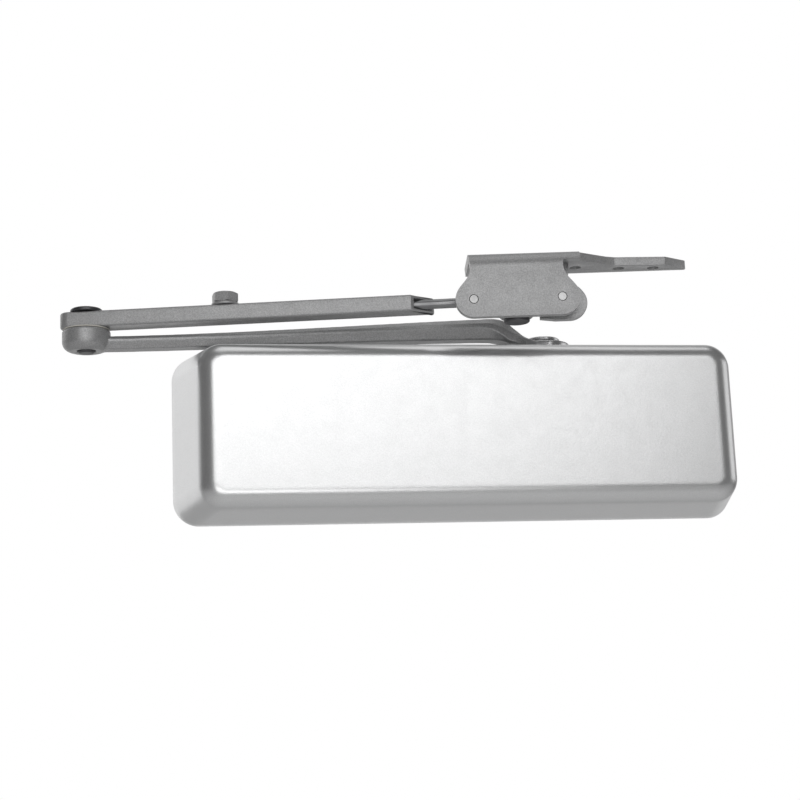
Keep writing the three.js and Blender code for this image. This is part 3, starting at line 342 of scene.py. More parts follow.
def slab(name: str, outline: np.ndarray, low: float, high: float, edge: float, facing: Facing = Facing.PLAN,
         place: Placement = Placement()) -> bpy.types.Object:
    """Give an outline a thickness, with quarter-round edges.

    At a quarter-turn angle t the outline is inset by edge * (1 - sin t) and stands edge * (1 - cos t) in
    from the face.

    Args:
        name: The piece's name.
        outline: Points of the outline.
        low: Lower face.
        high: Upper face.
        edge: Radius of the edges.
        facing: The plane the outline lies in.
        place: The piece's own origin and turn.

    Returns:
        The new object.
    """
    outline = counter_clockwise(outline)
    turn = np.linspace(0.0, math.pi / 2, 6)
    inward = np.concatenate([[1.6 * edge], edge * (1 - np.sin(turn))])
    level = np.concatenate([[0.0], edge * (1 - np.cos(turn))])
    inward = np.concatenate([inward, inward[::-1]])
    height = np.concatenate([low + level, high - level[::-1]])
    first, second, thick = facing.value
    flat = np.stack([inset(outline, d) for d in inward])
    rings = np.empty((*flat.shape[:2], 3))
    rings[..., first] = flat[..., 0]
    rings[..., second] = flat[..., 1]
    rings[..., thick] = height[:, None]
    return solid_of_rings(name, place.apply(rings))


def prism(outline: np.ndarray, low: float, high: float, facing: Facing = Facing.PLAN,
          place: Placement = Placement()) -> bpy.types.Object:
    """Give an outline a plain thickness, as a tool for cutting or shaping another piece.

    Args:
        outline: Points of the outline.
        low: Lower face.
        high: Upper face.
        facing: The plane the outline lies in.
        place: The piece's own origin and turn.

    Returns:
        The tool.
    """
    outline = counter_clockwise(outline)
    first, second, thick = facing.value
    rings = np.empty((2, len(outline), 3))
    rings[..., first] = outline[:, 0]
    rings[..., second] = outline[:, 1]
    rings[..., thick] = np.array([[low], [high]])
    return solid_of_rings("tool", place.apply(rings))


def drill(radius: float, low: float, high: float, centre: tuple[float, float, float],
          facing: Facing = Facing.PLAN, place: Placement = Placement()) -> bpy.types.Object:
    """Return a plain cylinder as a tool for a hole."""
    profile = np.array([[radius, low], [radius, high]])
    return lathe("tool", profile, centre, facing, 64, place=place)


def settle(piece: bpy.types.Object) -> bpy.types.Object:
    """Make a piece's modifiers part of its mesh and return the piece."""
    depsgraph = bpy.context.evaluated_depsgraph_get()
    mesh = bpy.data.meshes.new_from_object(piece.evaluated_get(depsgraph))
    old = piece.data
    piece.modifiers.clear()
    piece.data = mesh
    mesh.name = piece.name
    bpy.data.meshes.remove(old)
    return piece


def shape(piece: bpy.types.Object, operation: str, *tools: bpy.types.Object) -> bpy.types.Object:
    """Cut, join or trim a piece with tools, which are used up.

    Args:
        piece: The piece to change.
        operation: DIFFERENCE, UNION or INTERSECT.
        *tools: Closed solids.

    Returns:
        The changed piece.
    """
    for tool in tools:
        modifier = piece.modifiers.new("shape", "BOOLEAN")
        modifier.operation = operation
        modifier.solver = "EXACT"
        modifier.object = tool
        settle(piece)
        mesh = tool.data
        bpy.data.objects.remove(tool)
        bpy.data.meshes.remove(mesh)
    return piece


def soften(piece: bpy.types.Object, width: float, segments: int = 3, angle: float = 35.0) -> bpy.types.Object:
    """Round the sharp edges of a piece.

    Args:
        piece: The piece to finish.
        width: Width of the rounding.
        segments: Steps across it.
        angle: Edges sharper than this, in degrees, are rounded.

    Returns:
        The finished piece.
    """
    modifier = piece.modifiers.new("edges", "BEVEL")
    modifier.width = width
    modifier.segments = segments
    modifier.limit_method = "ANGLE"
    modifier.angle_limit = math.radians(angle)
    modifier.miter_outer = "MITER_ARC"
    return settle(piece)


def forge(piece: bpy.types.Object, voxel: float, passes: int) -> bpy.types.Object:
    """Give a piece the melted edges and blended joins of a forging or casting.

    Args:
        piece: The rough piece.
        voxel: Size of the even mesh it is remade in.
        passes: Rounds of smoothing.

    Returns:
        The finished piece.
    """
    remesh = piece.modifiers.new("even", "REMESH")
    remesh.mode = "VOXEL"
    remesh.voxel_size = voxel
    smooth = piece.modifiers.new("melt", "SMOOTH")
    smooth.factor = 0.5
    smooth.iterations = passes
    return settle(piece)


def merged_copy(node: str, name: str) -> bpy.types.Object:
    """Copy a frame node's solid with its loose triangles joined.

    Args:
        node: The frame node.
        name: The new piece's name.

    Returns:
        The new object.
    """
    mesh = frame["nodes"][node].data.copy()
    mesh.materials.clear()
    mesh.name = name
    work = bmesh.new()
    work.from_mesh(mesh)
    bmesh.ops.remove_doubles(work, verts=work.verts, dist=2e-6)
    bmesh.ops.dissolve_limit(work, angle_limit=math.radians(1.0), verts=work.verts, edges=work.edges)
    work.to_mesh(mesh)
    work.free()
    piece = bpy.data.objects.new(name, mesh)
    bpy.context.scene.collection.objects.link(piece)
    return piece


def levels(node: str) -> tuple[float, float]:
    """Return the lowest and highest level of a frame node at rest."""
    low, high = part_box(node)
    return low[2], high[2]


def joint_place(name: str) -> np.ndarray:
    """Return where a joint of the frame stands."""
    return np.array(next(joint["pos_m"] for joint in frame["joints"] if joint["name"] == name))


# ------------------------------------------------------------------ finishes
class Nodes:
    """A material's node tree, with short ways to add to it."""

    def __init__(self, name: str) -> None:
        """Start an empty material.

        Args:
            name: The material's name.
        """
        self.material = bpy.data.materials.new(name)
        self.material.use_nodes = True
        self.tree = self.material.node_tree
        self.shader = self.tree.nodes["Principled BSDF"]
        self.place = self.tree.nodes.new("ShaderNodeTexCoord").outputs["Object"]

    def noise(self, scale: float, detail: float = 2.0, stretch: tuple[float, float, float] = (1.0, 1.0, 1.0),
              turn: float = 0.0) -> bpy.types.NodeSocket:
        """Add a noise pattern on the object's own coordinates.

        Args:
            scale: Patterns per metre.
            detail: Finer layers added.
            stretch: Scale along each axis.
            turn: Turn about Z before the scale, in radians.

        Returns:
            The pattern's value, 0 to 1.
        """
        mapping = self.tree.nodes.new("ShaderNodeMapping")
        mapping.vector_type = "TEXTURE"
        mapping.inputs["Rotation"].default_value[2] = turn
        mapping.inputs["Scale"].default_value = [1.0 / s for s in stretch]
        self.tree.links.new(self.place, mapping.inputs["Vector"])
        texture = self.tree.nodes.new("ShaderNodeTexNoise")
        texture.inputs["Scale"].default_value = scale
        texture.inputs["Detail"].default_value = detail
        self.tree.links.new(mapping.outputs["Vector"], texture.inputs["Vector"])
        return texture.outputs["Fac"]

    def rings(self, centre: tuple[float, float, float], facing: Facing, pitch: float) -> bpy.types.NodeSocket:
        """Add turning marks: a fine pattern of the distance from an axis.

        Args:
            centre: A point on the axis.
            facing: The plane the marks lie in.
            pitch: Distance between marks.

        Returns:
            The pattern's value, 0 to 1.
        """
        mapping = self.tree.nodes.new("ShaderNodeMapping")
        mapping.inputs["Location"].default_value = [-c for c in centre]
        flat = self.tree.nodes.new("ShaderNodeVectorMath")
        flat.operation = "MULTIPLY"
        flat.inputs[1].default_value = [1.0 if axis in facing.value[:2] else 0.0 for axis in range(3)]
        length = self.tree.nodes.new("ShaderNodeVectorMath")
        length.operation = "LENGTH"
        self.tree.links.new(self.place, mapping.inputs["Vector"])
        self.tree.links.new(mapping.outputs["Vector"], flat.inputs[0])
        self.tree.links.new(flat.outputs["Vector"], length.inputs[0])
        texture = self.tree.nodes.new("ShaderNodeTexNoise")
        texture.noise_dimensions = "1D"
        texture.inputs["Scale"].default_value = 1.0 / pitch
        texture.inputs["Detail"].default_value = 1.0
        self.tree.links.new(length.outputs["Value"], texture.inputs["W"])
        return texture.outputs["Fac"]

    def ramp(self, value: bpy.types.NodeSocket, low: float, high: float, start: float = 0.3,
             end: float = 0.7) -> bpy.types.NodeSocket:
        """Map a pattern to a range.

        Args:
            value: The pattern.
            low: Result where the pattern is at start or less.
            high: Result where it is at end or more.
            start: Pattern value for low.
            end: Pattern value for high.

        Returns:
            The mapped value.
        """
        mapped = self.tree.nodes.new("ShaderNodeMapRange")
        mapped.inputs["From Min"].default_value = start
        mapped.inputs["From Max"].default_value = end
        mapped.inputs["To Min"].default_value = low
        mapped.inputs["To Max"].default_value = high
        self.tree.links.new(value, mapped.inputs["Value"])
        return mapped.outputs["Result"]

    def edge(self, radius: float = 0.0009) -> bpy.types.NodeSocket:
        """Add a mask that is 1 on edges and 0 on flats.

        It compares the surface's own normal with the one it would have if its edges were rounded, and
        breaks the result up with a coarse noise, as rubbing does.

        Args:
            radius: How far in from an edge the mask reaches.

        Returns:
            The mask.
        """
        rounded = self.tree.nodes.new("ShaderNodeBevel")
        rounded.samples = 4
        rounded.inputs["Radius"].default_value = radius
        geometry = self.tree.nodes.new("ShaderNodeNewGeometry")
        dot = self.tree.nodes.new("ShaderNodeVectorMath")
        dot.operation = "DOT_PRODUCT"
        self.tree.links.new(rounded.outputs["Normal"], dot.inputs[0])
        self.tree.links.new(geometry.outputs["Normal"], dot.inputs[1])
        turned_away = self.ramp(dot.outputs["Value"], 1.0, 0.0, 0.86, 0.99)
        product = self.tree.nodes.new("ShaderNodeMath")
        product.operation = "MULTIPLY"
        self.tree.links.new(turned_away, product.inputs[0])
        self.tree.links.new(self.ramp(self.noise(420.0, 3.0), 0.15, 0.9), product.inputs[1])
        return product.outputs["Value"]

    def blend(self, share: bpy.types.NodeSocket, first: object, second: object) -> bpy.types.NodeSocket:
        """Mix two colours.

        Args:
            share: 0 gives the first colour and 1 the second.
            first: A colour or a socket.
            second: A colour or a socket.

        Returns:
            The mixed colour.
        """
        mix = self.tree.nodes.new("ShaderNodeMix")
        mix.data_type = "RGBA"
        self.tree.links.new(share, mix.inputs[0])
        for socket, value in ((mix.inputs[6], first), (mix.inputs[7], second)):
            if isinstance(value, bpy.types.NodeSocket):
                self.tree.links.new(value, socket)
            else:
                socket.default_value = (*value, 1.0)
        return mix.outputs[2]

    def bump(self, *layers: tuple[bpy.types.NodeSocket, float]) -> None:
        """Add surface relief.

        Args:
            *layers: Patterns with the height of each, in metres.
        """
        normal = None
        for height, depth in layers:
            node = self.tree.nodes.new("ShaderNodeBump")
            node.inputs["Strength"].default_value = 1.0
            node.inputs["Distance"].default_value = depth
            self.tree.links.new(height, node.inputs["Height"])
            if normal is not None:
                self.tree.links.new(normal, node.inputs["Normal"])
            normal = node.outputs["Normal"]
        self.tree.links.new(normal, self.shader.inputs["Normal"])

    def set(self, **values: object) -> None:
        """Set sockets of the shader to constants or link them.

        Args:
            **values: Socket names, with underscores for spaces, and what goes in them.
        """
        for key, value in values.items():
            socket = self.shader.inputs[key.replace("_", " ")]
            if isinstance(value, bpy.types.NodeSocket):
                self.tree.links.new(value, socket)
            else:
                socket.default_value = value


@dataclass(frozen=True)
class PowderCoat:
    """Sprayed metallic paint: orange peel, fine flake and edges rubbed a little brighter."""

    name: str
    colour: tuple[float, float, float]
    dark: tuple[float, float, float]
    worn: tuple[float, float, float]
    metallic: float
    roughness: tuple[float, float]
    peel: float
    peel_height: float
    flake: float
    coat: float = 0.0

    def build(self) -> bpy.types.Material:
        """Return the paint as a material."""
        nodes = Nodes(self.name)
        cloud = nodes.noise(28.0, 3.0)
        flake = nodes.noise(self.flake, 1.0)
        tone = nodes.blend(nodes.ramp(flake, 0.0, 1.0, 0.36, 0.64), self.dark, self.colour)
        tone = nodes.blend(nodes.ramp(cloud, 0.0, 0.12), tone, self.dark)
        tone = nodes.blend(nodes.edge(), tone, self.worn)
        peel = nodes.noise(self.peel, 2.0)
        nodes.bump((peel, self.peel_height), (flake, 0.25 * self.peel_height))
        nodes.set(Base_Color=tone, Metallic=self.metallic, Coat_Weight=self.coat, Coat_Roughness=0.25,
                  Roughness=nodes.ramp(nodes.noise(160.0, 3.0), *self.roughness))
        return nodes.material


@dataclass(frozen=True)
class BrightMetal:
    """Bare or plated metal with drawing or turning marks."""

    name: str
    colour: tuple[float, float, float]
    tarnish: tuple[float, float, float]
    roughness: tuple[float, float]
    stretch: tuple[float, float, float] = (1.0, 1.0, 1.0)
    turn: float = 0.0
    marks: float = 900.0
    depth: float = 0.00001
    axis: tuple[float, float, float] | None = None
    facing: Facing = Facing.PLAN
    metallic: float = 1.0

    def build(self) -> bpy.types.Material:
        """Return the metal as a material."""
        nodes = Nodes(self.name)
        if self.axis is None:
            marks = nodes.noise(self.marks, 3.0, self.stretch, self.turn)
        else:
            marks = nodes.rings(self.axis, self.facing, 1.0 / self.marks)
        stain = nodes.noise(90.0, 4.0)
        tone = nodes.blend(nodes.ramp(stain, 0.0, 0.8), self.colour, self.tarnish)
        tone = nodes.blend(nodes.ramp(marks, 0.0, 0.3), tone, self.tarnish)
        tone = nodes.blend(nodes.ramp(nodes.edge(), 0.0, 0.6, 0.0, 1.0), tone,
                           tuple(min(1.0, 1.25 * c) for c in self.colour))
        nodes.bump((marks, self.depth), (nodes.noise(2200.0, 1.0), 0.3 * self.depth))
        nodes.set(Base_Color=tone, Metallic=self.metallic, Roughness=nodes.ramp(stain, *self.roughness))
        return nodes.material


@dataclass(frozen=True)
class SandCast:
    """Dark painted cast iron with a sand grain and rubbed high spots."""

    name: str
    colour: tuple[float, float, float]
    worn: tuple[float, float, float]

    def build(self) -> bpy.types.Material:
        """Return the casting's finish as a material."""
        nodes = Nodes(self.name)
        grain = nodes.noise(650.0, 4.0)
        pits = nodes.noise(180.0, 2.0)
        tone = nodes.blend(nodes.ramp(pits, 0.0, 0.6), self.colour, tuple(0.6 * c for c in self.colour))
        tone = nodes.blend(nodes.edge(0.0016), tone, self.worn)
        nodes.bump((grain, 0.00018), (pits, 0.00025))
        nodes.set(Base_Color=tone, Metallic=0.35, Roughness=nodes.ramp(grain, 0.5, 0.78))
        return nodes.material


@dataclass(frozen=True)
class Moulded:
    """Rubber or nylon: a soft sheen with a fine matt skin."""

    name: str
    colour: tuple[float, float, float]
    shade: tuple[float, float, float]
    roughness: tuple[float, float]

    def build(self) -> bpy.types.Material:
        """Return the moulded finish as a material."""
        nodes = Nodes(self.name)
        skin = nodes.noise(1400.0, 2.0)
        cloud = nodes.noise(120.0, 3.0)
        nodes.bump((skin, 0.00003))
        nodes.set(Base_Color=nodes.blend(nodes.ramp(cloud, 0.0, 1.0), self.colour, self.shade),
                  Metallic=0.0, Roughness=nodes.ramp(cloud, *self.roughness))
        return nodes.material


class Workshop:
    """Holds the finishes, and hands finished pieces to the frame."""

    def __init__(self) -> None:
        """Mix every finish once."""
        spindle = tuple(joint_place("main_arm_swing"))
        swivel = tuple(joint_place("bracket_swivel"))
        elbow = tuple(joint_place("elbow_fold"))
        grey = (0.335, 0.335, 0.34)
        finishes = [
            PowderCoat("cover_paint", (0.83, 0.833, 0.836), (0.75, 0.753, 0.756), (0.88, 0.88, 0.885), 0.9,
                       (0.285, 0.315), 900.0, 0.00003, 2600.0, 0.05),
            PowderCoat("arm_paint", (0.47, 0.47, 0.473), (0.34, 0.34, 0.343), (0.52, 0.52, 0.523), 0.45,
                       (0.36, 0.44), 900.0, 0.00009, 1700.0),
            SandCast("cast_iron", (0.10, 0.10, 0.105), (0.19, 0.19, 0.195)),
            BrightMetal("steel", (0.60, 0.60, 0.61), (0.46, 0.46, 0.47), (0.22, 0.36), (1.0, 1.0, 0.15)),
            BrightMetal("hub_steel", (0.78, 0.78, 0.785), (0.60, 0.60, 0.61), (0.20, 0.34), marks=3200.0,
                        axis=spindle, depth=0.00002),
            BrightMetal("spring_steel", (0.15, 0.15, 0.16), (0.08, 0.08, 0.085), (0.30, 0.45)),
            BrightMetal("zinc", (0.66, 0.66, 0.65), (0.50, 0.51, 0.51), (0.28, 0.42)),
            BrightMetal("rod_steel", grey, (0.24, 0.24, 0.245), (0.26, 0.40), (0.08, 1.0, 1.0),
                        math.radians(-12.5)),
            BrightMetal("rivet_metal", (0.58, 0.58, 0.58), (0.48, 0.48, 0.48), (0.38, 0.5), (1.0, 1.0, 0.3)),
            BrightMetal("dark_pin", (0.125, 0.125, 0.13), (0.07, 0.07, 0.075), (0.34, 0.5), marks=2600.0,
                        axis=elbow, metallic=0.8),
            BrightMetal("swivel_dark", (0.125, 0.125, 0.13), (0.07, 0.07, 0.075), (0.34, 0.5), marks=2600.0,
                        axis=swivel, metallic=0.8),
            BrightMetal("bronze", (0.55, 0.38, 0.17), (0.40, 0.26, 0.11), (0.24, 0.4)),
            Moulded("rubber", (0.022, 0.022, 0.023), (0.04, 0.04, 0.04), (0.6, 0.85)),
            Moulded("nylon", (0.74, 0.72, 0.66), (0.66, 0.64, 0.58), (0.42, 0.6)),
        ]
        self.finishes = {finish.name: finish.build() for finish in finishes}
        self.slots = {part["node"]: part["material_slot"] for part in frame["record"]["subparts"]}
        self.bodies = {node: body for body, nodes in frame["record"]["behaviour"]["bodies"].items()
                       for node in nodes}
        self.replaced: set[str] = set()

    def deliver(self, piece: bpy.types.Object, node: str, finish: str | None = None,
                smooth: float = 32.0) -> bpy.types.Object:
        """Dress a piece and put it in a frame node's place.

        Args:
            piece: The finished shape.
            node: The frame node it stands for.
            finish: Its finish, if it isn't the node's own slot.
            smooth: Edges flatter than this, in degrees, are shaded smooth.

        Returns:
            The piece.
        """
        mesh = piece.data
        mesh.polygons.foreach_set("use_smooth", np.ones(len(mesh.polygons), bool))
        mesh.set_sharp_from_angle(angle=math.radians(smooth))
        mesh.materials.clear()
        mesh.materials.append(self.finishes[finish or self.slots[node]])
        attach(piece, self.bodies[node])
        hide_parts(node)
        self.replaced.add(node)
        LOG.info("%s stands for %s with %d faces", piece.name, node, len(mesh.polygons))
        return piece

    def dress_rest(self) -> None:
        """Give every frame node that still shows the finish of its slot."""
        for name, node in frame["nodes"].items():
            if name in self.replaced:
                continue
            if not node.material_slots:
                LOG.warning("%s has no material slot", name)
            for slot in node.material_slots:
                slot.material = self.finishes[self.slots[name]]
            LOG.info("%s keeps its frame shape", name)


# ------------------------------------------------------------------ the closer's body
@dataclass
class Cover:
    """The sheet-metal box that hides the body: round front edges, sides leaning out to the door."""

    length: float = 291 * MM
    height: float = 87 * MM
    depth: float = 54 * MM
    wall: float = 2 * MM
    end_flare: float = 13.6 * MM
    side_flare: float = 3.8 * MM
    edge: float = 8.6 * MM
    corner: float = 13 * MM
    door_gap: float = 0.5 * MM
    opening: float = 17.8 * MM

    def outline(self, less: float) -> np.ndarray:
        """Return the front outline, a rounded rectangle made smaller all round by a distance."""
        half_x, half_z = self.length / 2 - less, self.height / 2 - less
        radius = max(self.corner - less, 1.2 * MM)
        corners = [arc((sx * (half_x - radius), sz * (half_z - radius)), radius, start, start + 90, 16)
                   for sx, sz, start in ((1, 1, 0), (-1, 1, 90), (-1, -1, 180), (1, -1, 270))]
        return np.concatenate(corners)

    def skin(self, less: float) -> np.ndarray:
        """Work out one skin from the middle of the front to the rear rim.

        At a quarter-turn angle t of the front edge the outline is inset by edge * (1 - sin t) and stands
        edge * (1 - cos t) behind the front; behind that it is straight. Then both width and height grow in
        step with the distance from the front, which leans the sides outwards.

        Args:
            less: Distance inside the outer skin.

        Returns:
            Rings of points from front to rear.
        """
        edge = self.edge - less
        turn = np.linspace(0.0, math.pi / 2, 15)
        inward = np.concatenate([[edge + 7 * MM, edge + 1.2 * MM], edge * (1 - np.sin(turn)), np.zeros(8)])
        straight = np.linspace(edge, self.depth - self.door_gap - less, 9)[1:]
        back = np.concatenate([[0.0, 0.0], edge * (1 - np.cos(turn)), straight])
        y = back + less - self.depth
        flat = np.stack([self.outline(less + d) for d in inward])
        share = (y + self.depth)[:, None] / self.depth
        x = flat[..., 0] * (1 + 2 * self.end_flare / self.length * share)
        z = flat[..., 1] * (1 + 2 * self.side_flare / self.height * share)
        return np.stack([x, np.broadcast_to(y[:, None], x.shape), z], axis=-1)

    def build(self, shop: Workshop) -> None:
        """Build the shell, cut its opening for the hub and hand it over.

        Args:
            shop: Where the piece is dressed.
        """
        rings = np.concatenate([self.skin(0.0), self.skin(self.wall)[::-1]])
        shell = solid_of_rings("cover_shell", rings)
        spindle = joint_place("main_arm_swing")
        round_part = arc((spindle[0], spindle[1]), self.opening, 180, 360, 48)
        rear = np.array([[spindle[0] + self.opening, 5 * MM], [spindle[0] - self.opening, 5 * MM]])
        shape(shell, "DIFFERENCE", prism(np.concatenate([round_part, rear]), 34 * MM, 90 * MM))
        soften(shell, 0.45 * MM, 3, 50.0)
        shop.deliver(shell, "cover", smooth=38.0)


@dataclass
class Casting:
    """The iron body: cylinder, spindle boss, rear rib and screw pads, with its two end caps."""

    grain: float = 1.15 * MM

    def build(self, shop: Workshop) -> None:
        """Cast the body and the caps with melted edges.

        Args:
            shop: Where the pieces are dressed.
        """
        body = forge(merged_copy("body_casting", "cast_body"), self.grain, 3)
        shop.deliver(body, "body_casting", smooth=60.0)
        for side in ("left", "right"):
            cap = soften(merged_copy(f"{side}_end_cap", f"{side}_cap"), 0.5 * MM, 3, 40.0)
            shop.deliver(cap, f"{side}_end_cap")


@dataclass
class ClosingSpring:
    """A compression spring of round wire with closed ends."""

    wire: float = 2.2 * MM
    radius: float = 13.4 * MM
    turns: float = 11.0
    closed_share: float = 0.05
    travel: float = 23.8 * MM

    def build(self, shop: Workshop) -> None:
        """Sweep a circle along a helix whose pitch tightens at both ends.

        The wire's middle is at radius * (cos a, sin a) about the bore, and advances with a smooth step of
        the share of the way, so that the end turns lie flat.

        Args:
            shop: Where the piece is dressed.
        """
        low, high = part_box("closing_spring")
        middle_y = 0.5 * (low[1] + high[1])
        steps = int(48 * self.turns)
        share = np.linspace(0.0, 1.0, steps + 1)
        ease = np.clip((share - self.closed_share) / (1 - 2 * self.closed_share), 0.0, 1.0)
        lift = 0.035 * np.clip(share / self.closed_share, 0, 1) + 0.93 * ease
        lift = lift + 0.035 * np.clip((share - 1 + self.closed_share) / self.closed_share, 0, 1)
        angle = 2 * math.pi * self.turns * share
        start, end = low[0] + self.wire, high[0] - self.wire
        path = np.stack([start + (end - start) * lift, middle_y + self.radius * np.cos(angle),
                         self.radius * np.sin(angle)], axis=1)
        along = np.gradient(path, axis=0)
        along /= np.linalg.norm(along, axis=1, keepdims=True)
        out = np.stack([np.zeros(steps + 1), np.cos(angle), np.sin(angle)], axis=1)
        side = np.cross(along, out)
        side /= np.linalg.norm(side, axis=1, keepdims=True)
        out = np.cross(side, along)
        turn = np.linspace(0, 2 * math.pi, 20, endpoint=False)
        rings = (path[:, None] + self.wire * (np.cos(turn)[None, :, None] * out[:, None]
                                              + np.sin(turn)[None, :, None] * side[:, None]))
        spring = solid_of_rings("closing_coil", rings)
        shop.deliver(spring, "closing_spring")
        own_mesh(spring)


# ------------------------------------------------------------------ the arms
@dataclass
class MainArm:
    """The forged arm: hub on the spindle's square, gooseneck, ridged bar and round elbow boss."""

    hub_radius: float = 15.3 * MM
    boss_radius: float = 12.9 * MM
    boss_edge: float = 5 * MM
    square: float = 11.6 * MM
    pin_hole: float = 5.1 * MM
    rim_top: float = 47.3 * MM
    voxel: float = 0.45 * MM
    rim_depth: float = 1.2 * MM
    rim_facing: float = 0.35
    top_share: float = 0.7
    foot_share: float = 0.66
    stations: list[tuple[float, float, float, float, float, float]] = field(default_factory=lambda: [
        (-9.3, -3.3, 3.6, 14.5, 0.9, -0.9),
        (-3.3, -0.1, 4.4, 11.4, 0.6, -0.95),
        (0.7, 4.0, 4.2, 9.4, 0.25, -0.95),
        (4.7, 6.5, 5.4, 8.6, 0.05, -0.9),
        (9.7, 8.6, 5.9, 8.0, 0.2, -0.5),
        (14.7, 9.1, 5.9, 7.4, 0.42, -0.05),
        (22.7, 8.9, 5.7, 7.2, 0.5, 0.14),
        (213.7, 2.0, 3.5, 6.3, 0.5, 0.14),
        (235.7, 1.6, 3.5, 6.2, 0.5, 0.14)])

    def bar(self, place: Placement) -> bpy.types.Object:
        """Carry the forged section along the arm.

        The section has eight corners: a flat ridge on each side, and sloped faces from it to a narrower
        top and foot. Its height, its width and the two edges of the ridge change smoothly from station to
        station, so that the ridge grows into the whole side of the gooseneck.

        Args:
            place: The spindle's axis and the arm's turn.

        Returns:
            The bar.
        """
        table = np.array(self.stations)
        past = np.concatenate([np.linspace(table[0, 0], 24.0, 60), np.linspace(24.0, table[-1, 0], 90)[1:]])
        rise, half, width, high, low = (smooth_through(past, table[:, 0], table[:, k]) for k in range(1, 6))
        full = np.ones_like(past)
        share = np.stack([self.top_share * full, full, full, self.foot_share * full], axis=1)
        across = np.concatenate([share, -share[:, ::-1]], axis=1) * width[:, None]
        level = np.stack([full, high, low, -full], axis=1) * half[:, None] + rise[:, None]
        z = self.rim_top + np.concatenate([level, level[:, ::-1]], axis=1) * MM
        x = np.broadcast_to(-self.hub_radius - past[:, None] * MM, across.shape)
        rings = np.stack([x, across * MM, z], axis=-1)
        return solid_of_rings("forged_arm", place.apply(rings))

    def build(self, shop: Workshop) -> None:
        """Forge the arm in one piece, and make its screw, elbow pin and washer.

        Args:
            shop: Where the pieces are dressed.
        """
        spindle, elbow = joint_place("main_arm_swing"), joint_place("elbow_fold")
        reach = float(np.hypot(*(elbow - spindle)[:2]))
        place = Placement(spindle[0], spindle[1], math.atan2(*(spindle - elbow)[1::-1]))
        screw_low, screw_high = levels("arm_screw")
        washer_low, washer_high = levels("arm_lock_washer")
        hub_low, hub_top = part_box("main_arm")[0][2], washer_low - GAP
        boss_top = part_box("elbow_washer")[0][2] - GAP
        boss_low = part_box("elbow_pin")[0][2] + 1 * MM

        arm = self.bar(place)
        spot = drill(10.6 * MM, hub_top, hub_top + 20 * MM, (0, 0, 0), place=place)
        shape(arm, "DIFFERENCE", spot)
        hub = turned("tool", [(self.hub_radius, hub_low), (self.hub_radius, hub_top)], (0, 0, 0), 0.9 * MM,
                     place=place)
        boss = np.concatenate([[[0.5 * MM, boss_low]],
                               arc((self.boss_radius - self.boss_edge, boss_low + self.boss_edge),
                                   self.boss_edge, -90, 0, 12),
                               [[self.boss_radius, boss_top - 0.6 * MM],
                                [self.boss_radius - 0.6 * MM, boss_top],
                                [0.5 * MM, boss_top]]])
        end = lathe("tool", boss, (-reach, 0, 0), place=place)
        shape(arm, "UNION", hub, end)
        half = self.square / 2
        hole = prism(rectangle((-half, half), (-half, half)), hub_low - PAST, hub_top + PAST, place=place)
        eye = drill(self.pin_hole, boss_low - PAST, boss_top + PAST, (-reach, 0, 0), place=place)
        shape(arm, "DIFFERENCE", hole, eye)
        forge(arm, self.voxel, 3)
        shop.deliver(arm, "main_arm", smooth=60.0)
        self.face_hub(arm.data, shop.finishes["hub_steel"], spindle, hub_top)

        lock = washer("lock_washer", 3.8 * MM, 9 * MM, washer_low, washer_high, (0, 0, 0), place=place)
        shop.deliver(lock, "arm_lock_washer")
        head = 10 * MM
        seat = washer_high + GAP
        screw = turned("arm_screw_head", [(3.5 * MM, screw_low), (3.5 * MM, seat), (head, seat),
                                          (head, screw_high - 0.8 * MM), (head - 0.9 * MM, screw_high)],
                       (0, 0, 0), 0.35 * MM, place=place)
        socket = drill(3.2 * MM, screw_high - 1.5 * MM, screw_high + PAST, (0, 0, 0), place=place)
        shape(screw, "DIFFERENCE", socket)
        soften(screw, 0.2 * MM, 2, 50.0)
        shop.deliver(screw, "arm_screw", "hub_steel")
        self.build_elbow(shop, Placement(elbow[0], elbow[1]))

    def face_hub(self, mesh: bpy.types.Mesh, bare: bpy.types.Material, axis: np.ndarray, top: float) -> None:
        """Leave the turned rim of the hub in bare steel.

        Args:
            mesh: The forged arm's mesh, already painted.
            bare: The bare steel.
            axis: A point on the spindle's axis.
            top: Height of the hub's top.
        """
        mesh.materials.append(bare)
        centres = np.empty(3 * len(mesh.polygons))
        normals = np.empty(3 * len(mesh.polygons))
        mesh.polygons.foreach_get("center", centres)
        mesh.polygons.foreach_get("normal", normals)
        away = centres.reshape(-1, 3) - axis
        out = np.hypot(away[:, 0], away[:, 1])
        radial = np.einsum("ij,ij->i", away[:, :2], normals.reshape(-1, 3)[:, :2]) / np.maximum(out, 1e-6)
        rim = np.abs(out - self.hub_radius) < self.rim_depth
        rim &= (radial > self.rim_facing) & (centres[2::3] < top + 0.2 * MM)
        mesh.polygons.foreach_set("material_index", rim.astype(np.int32))

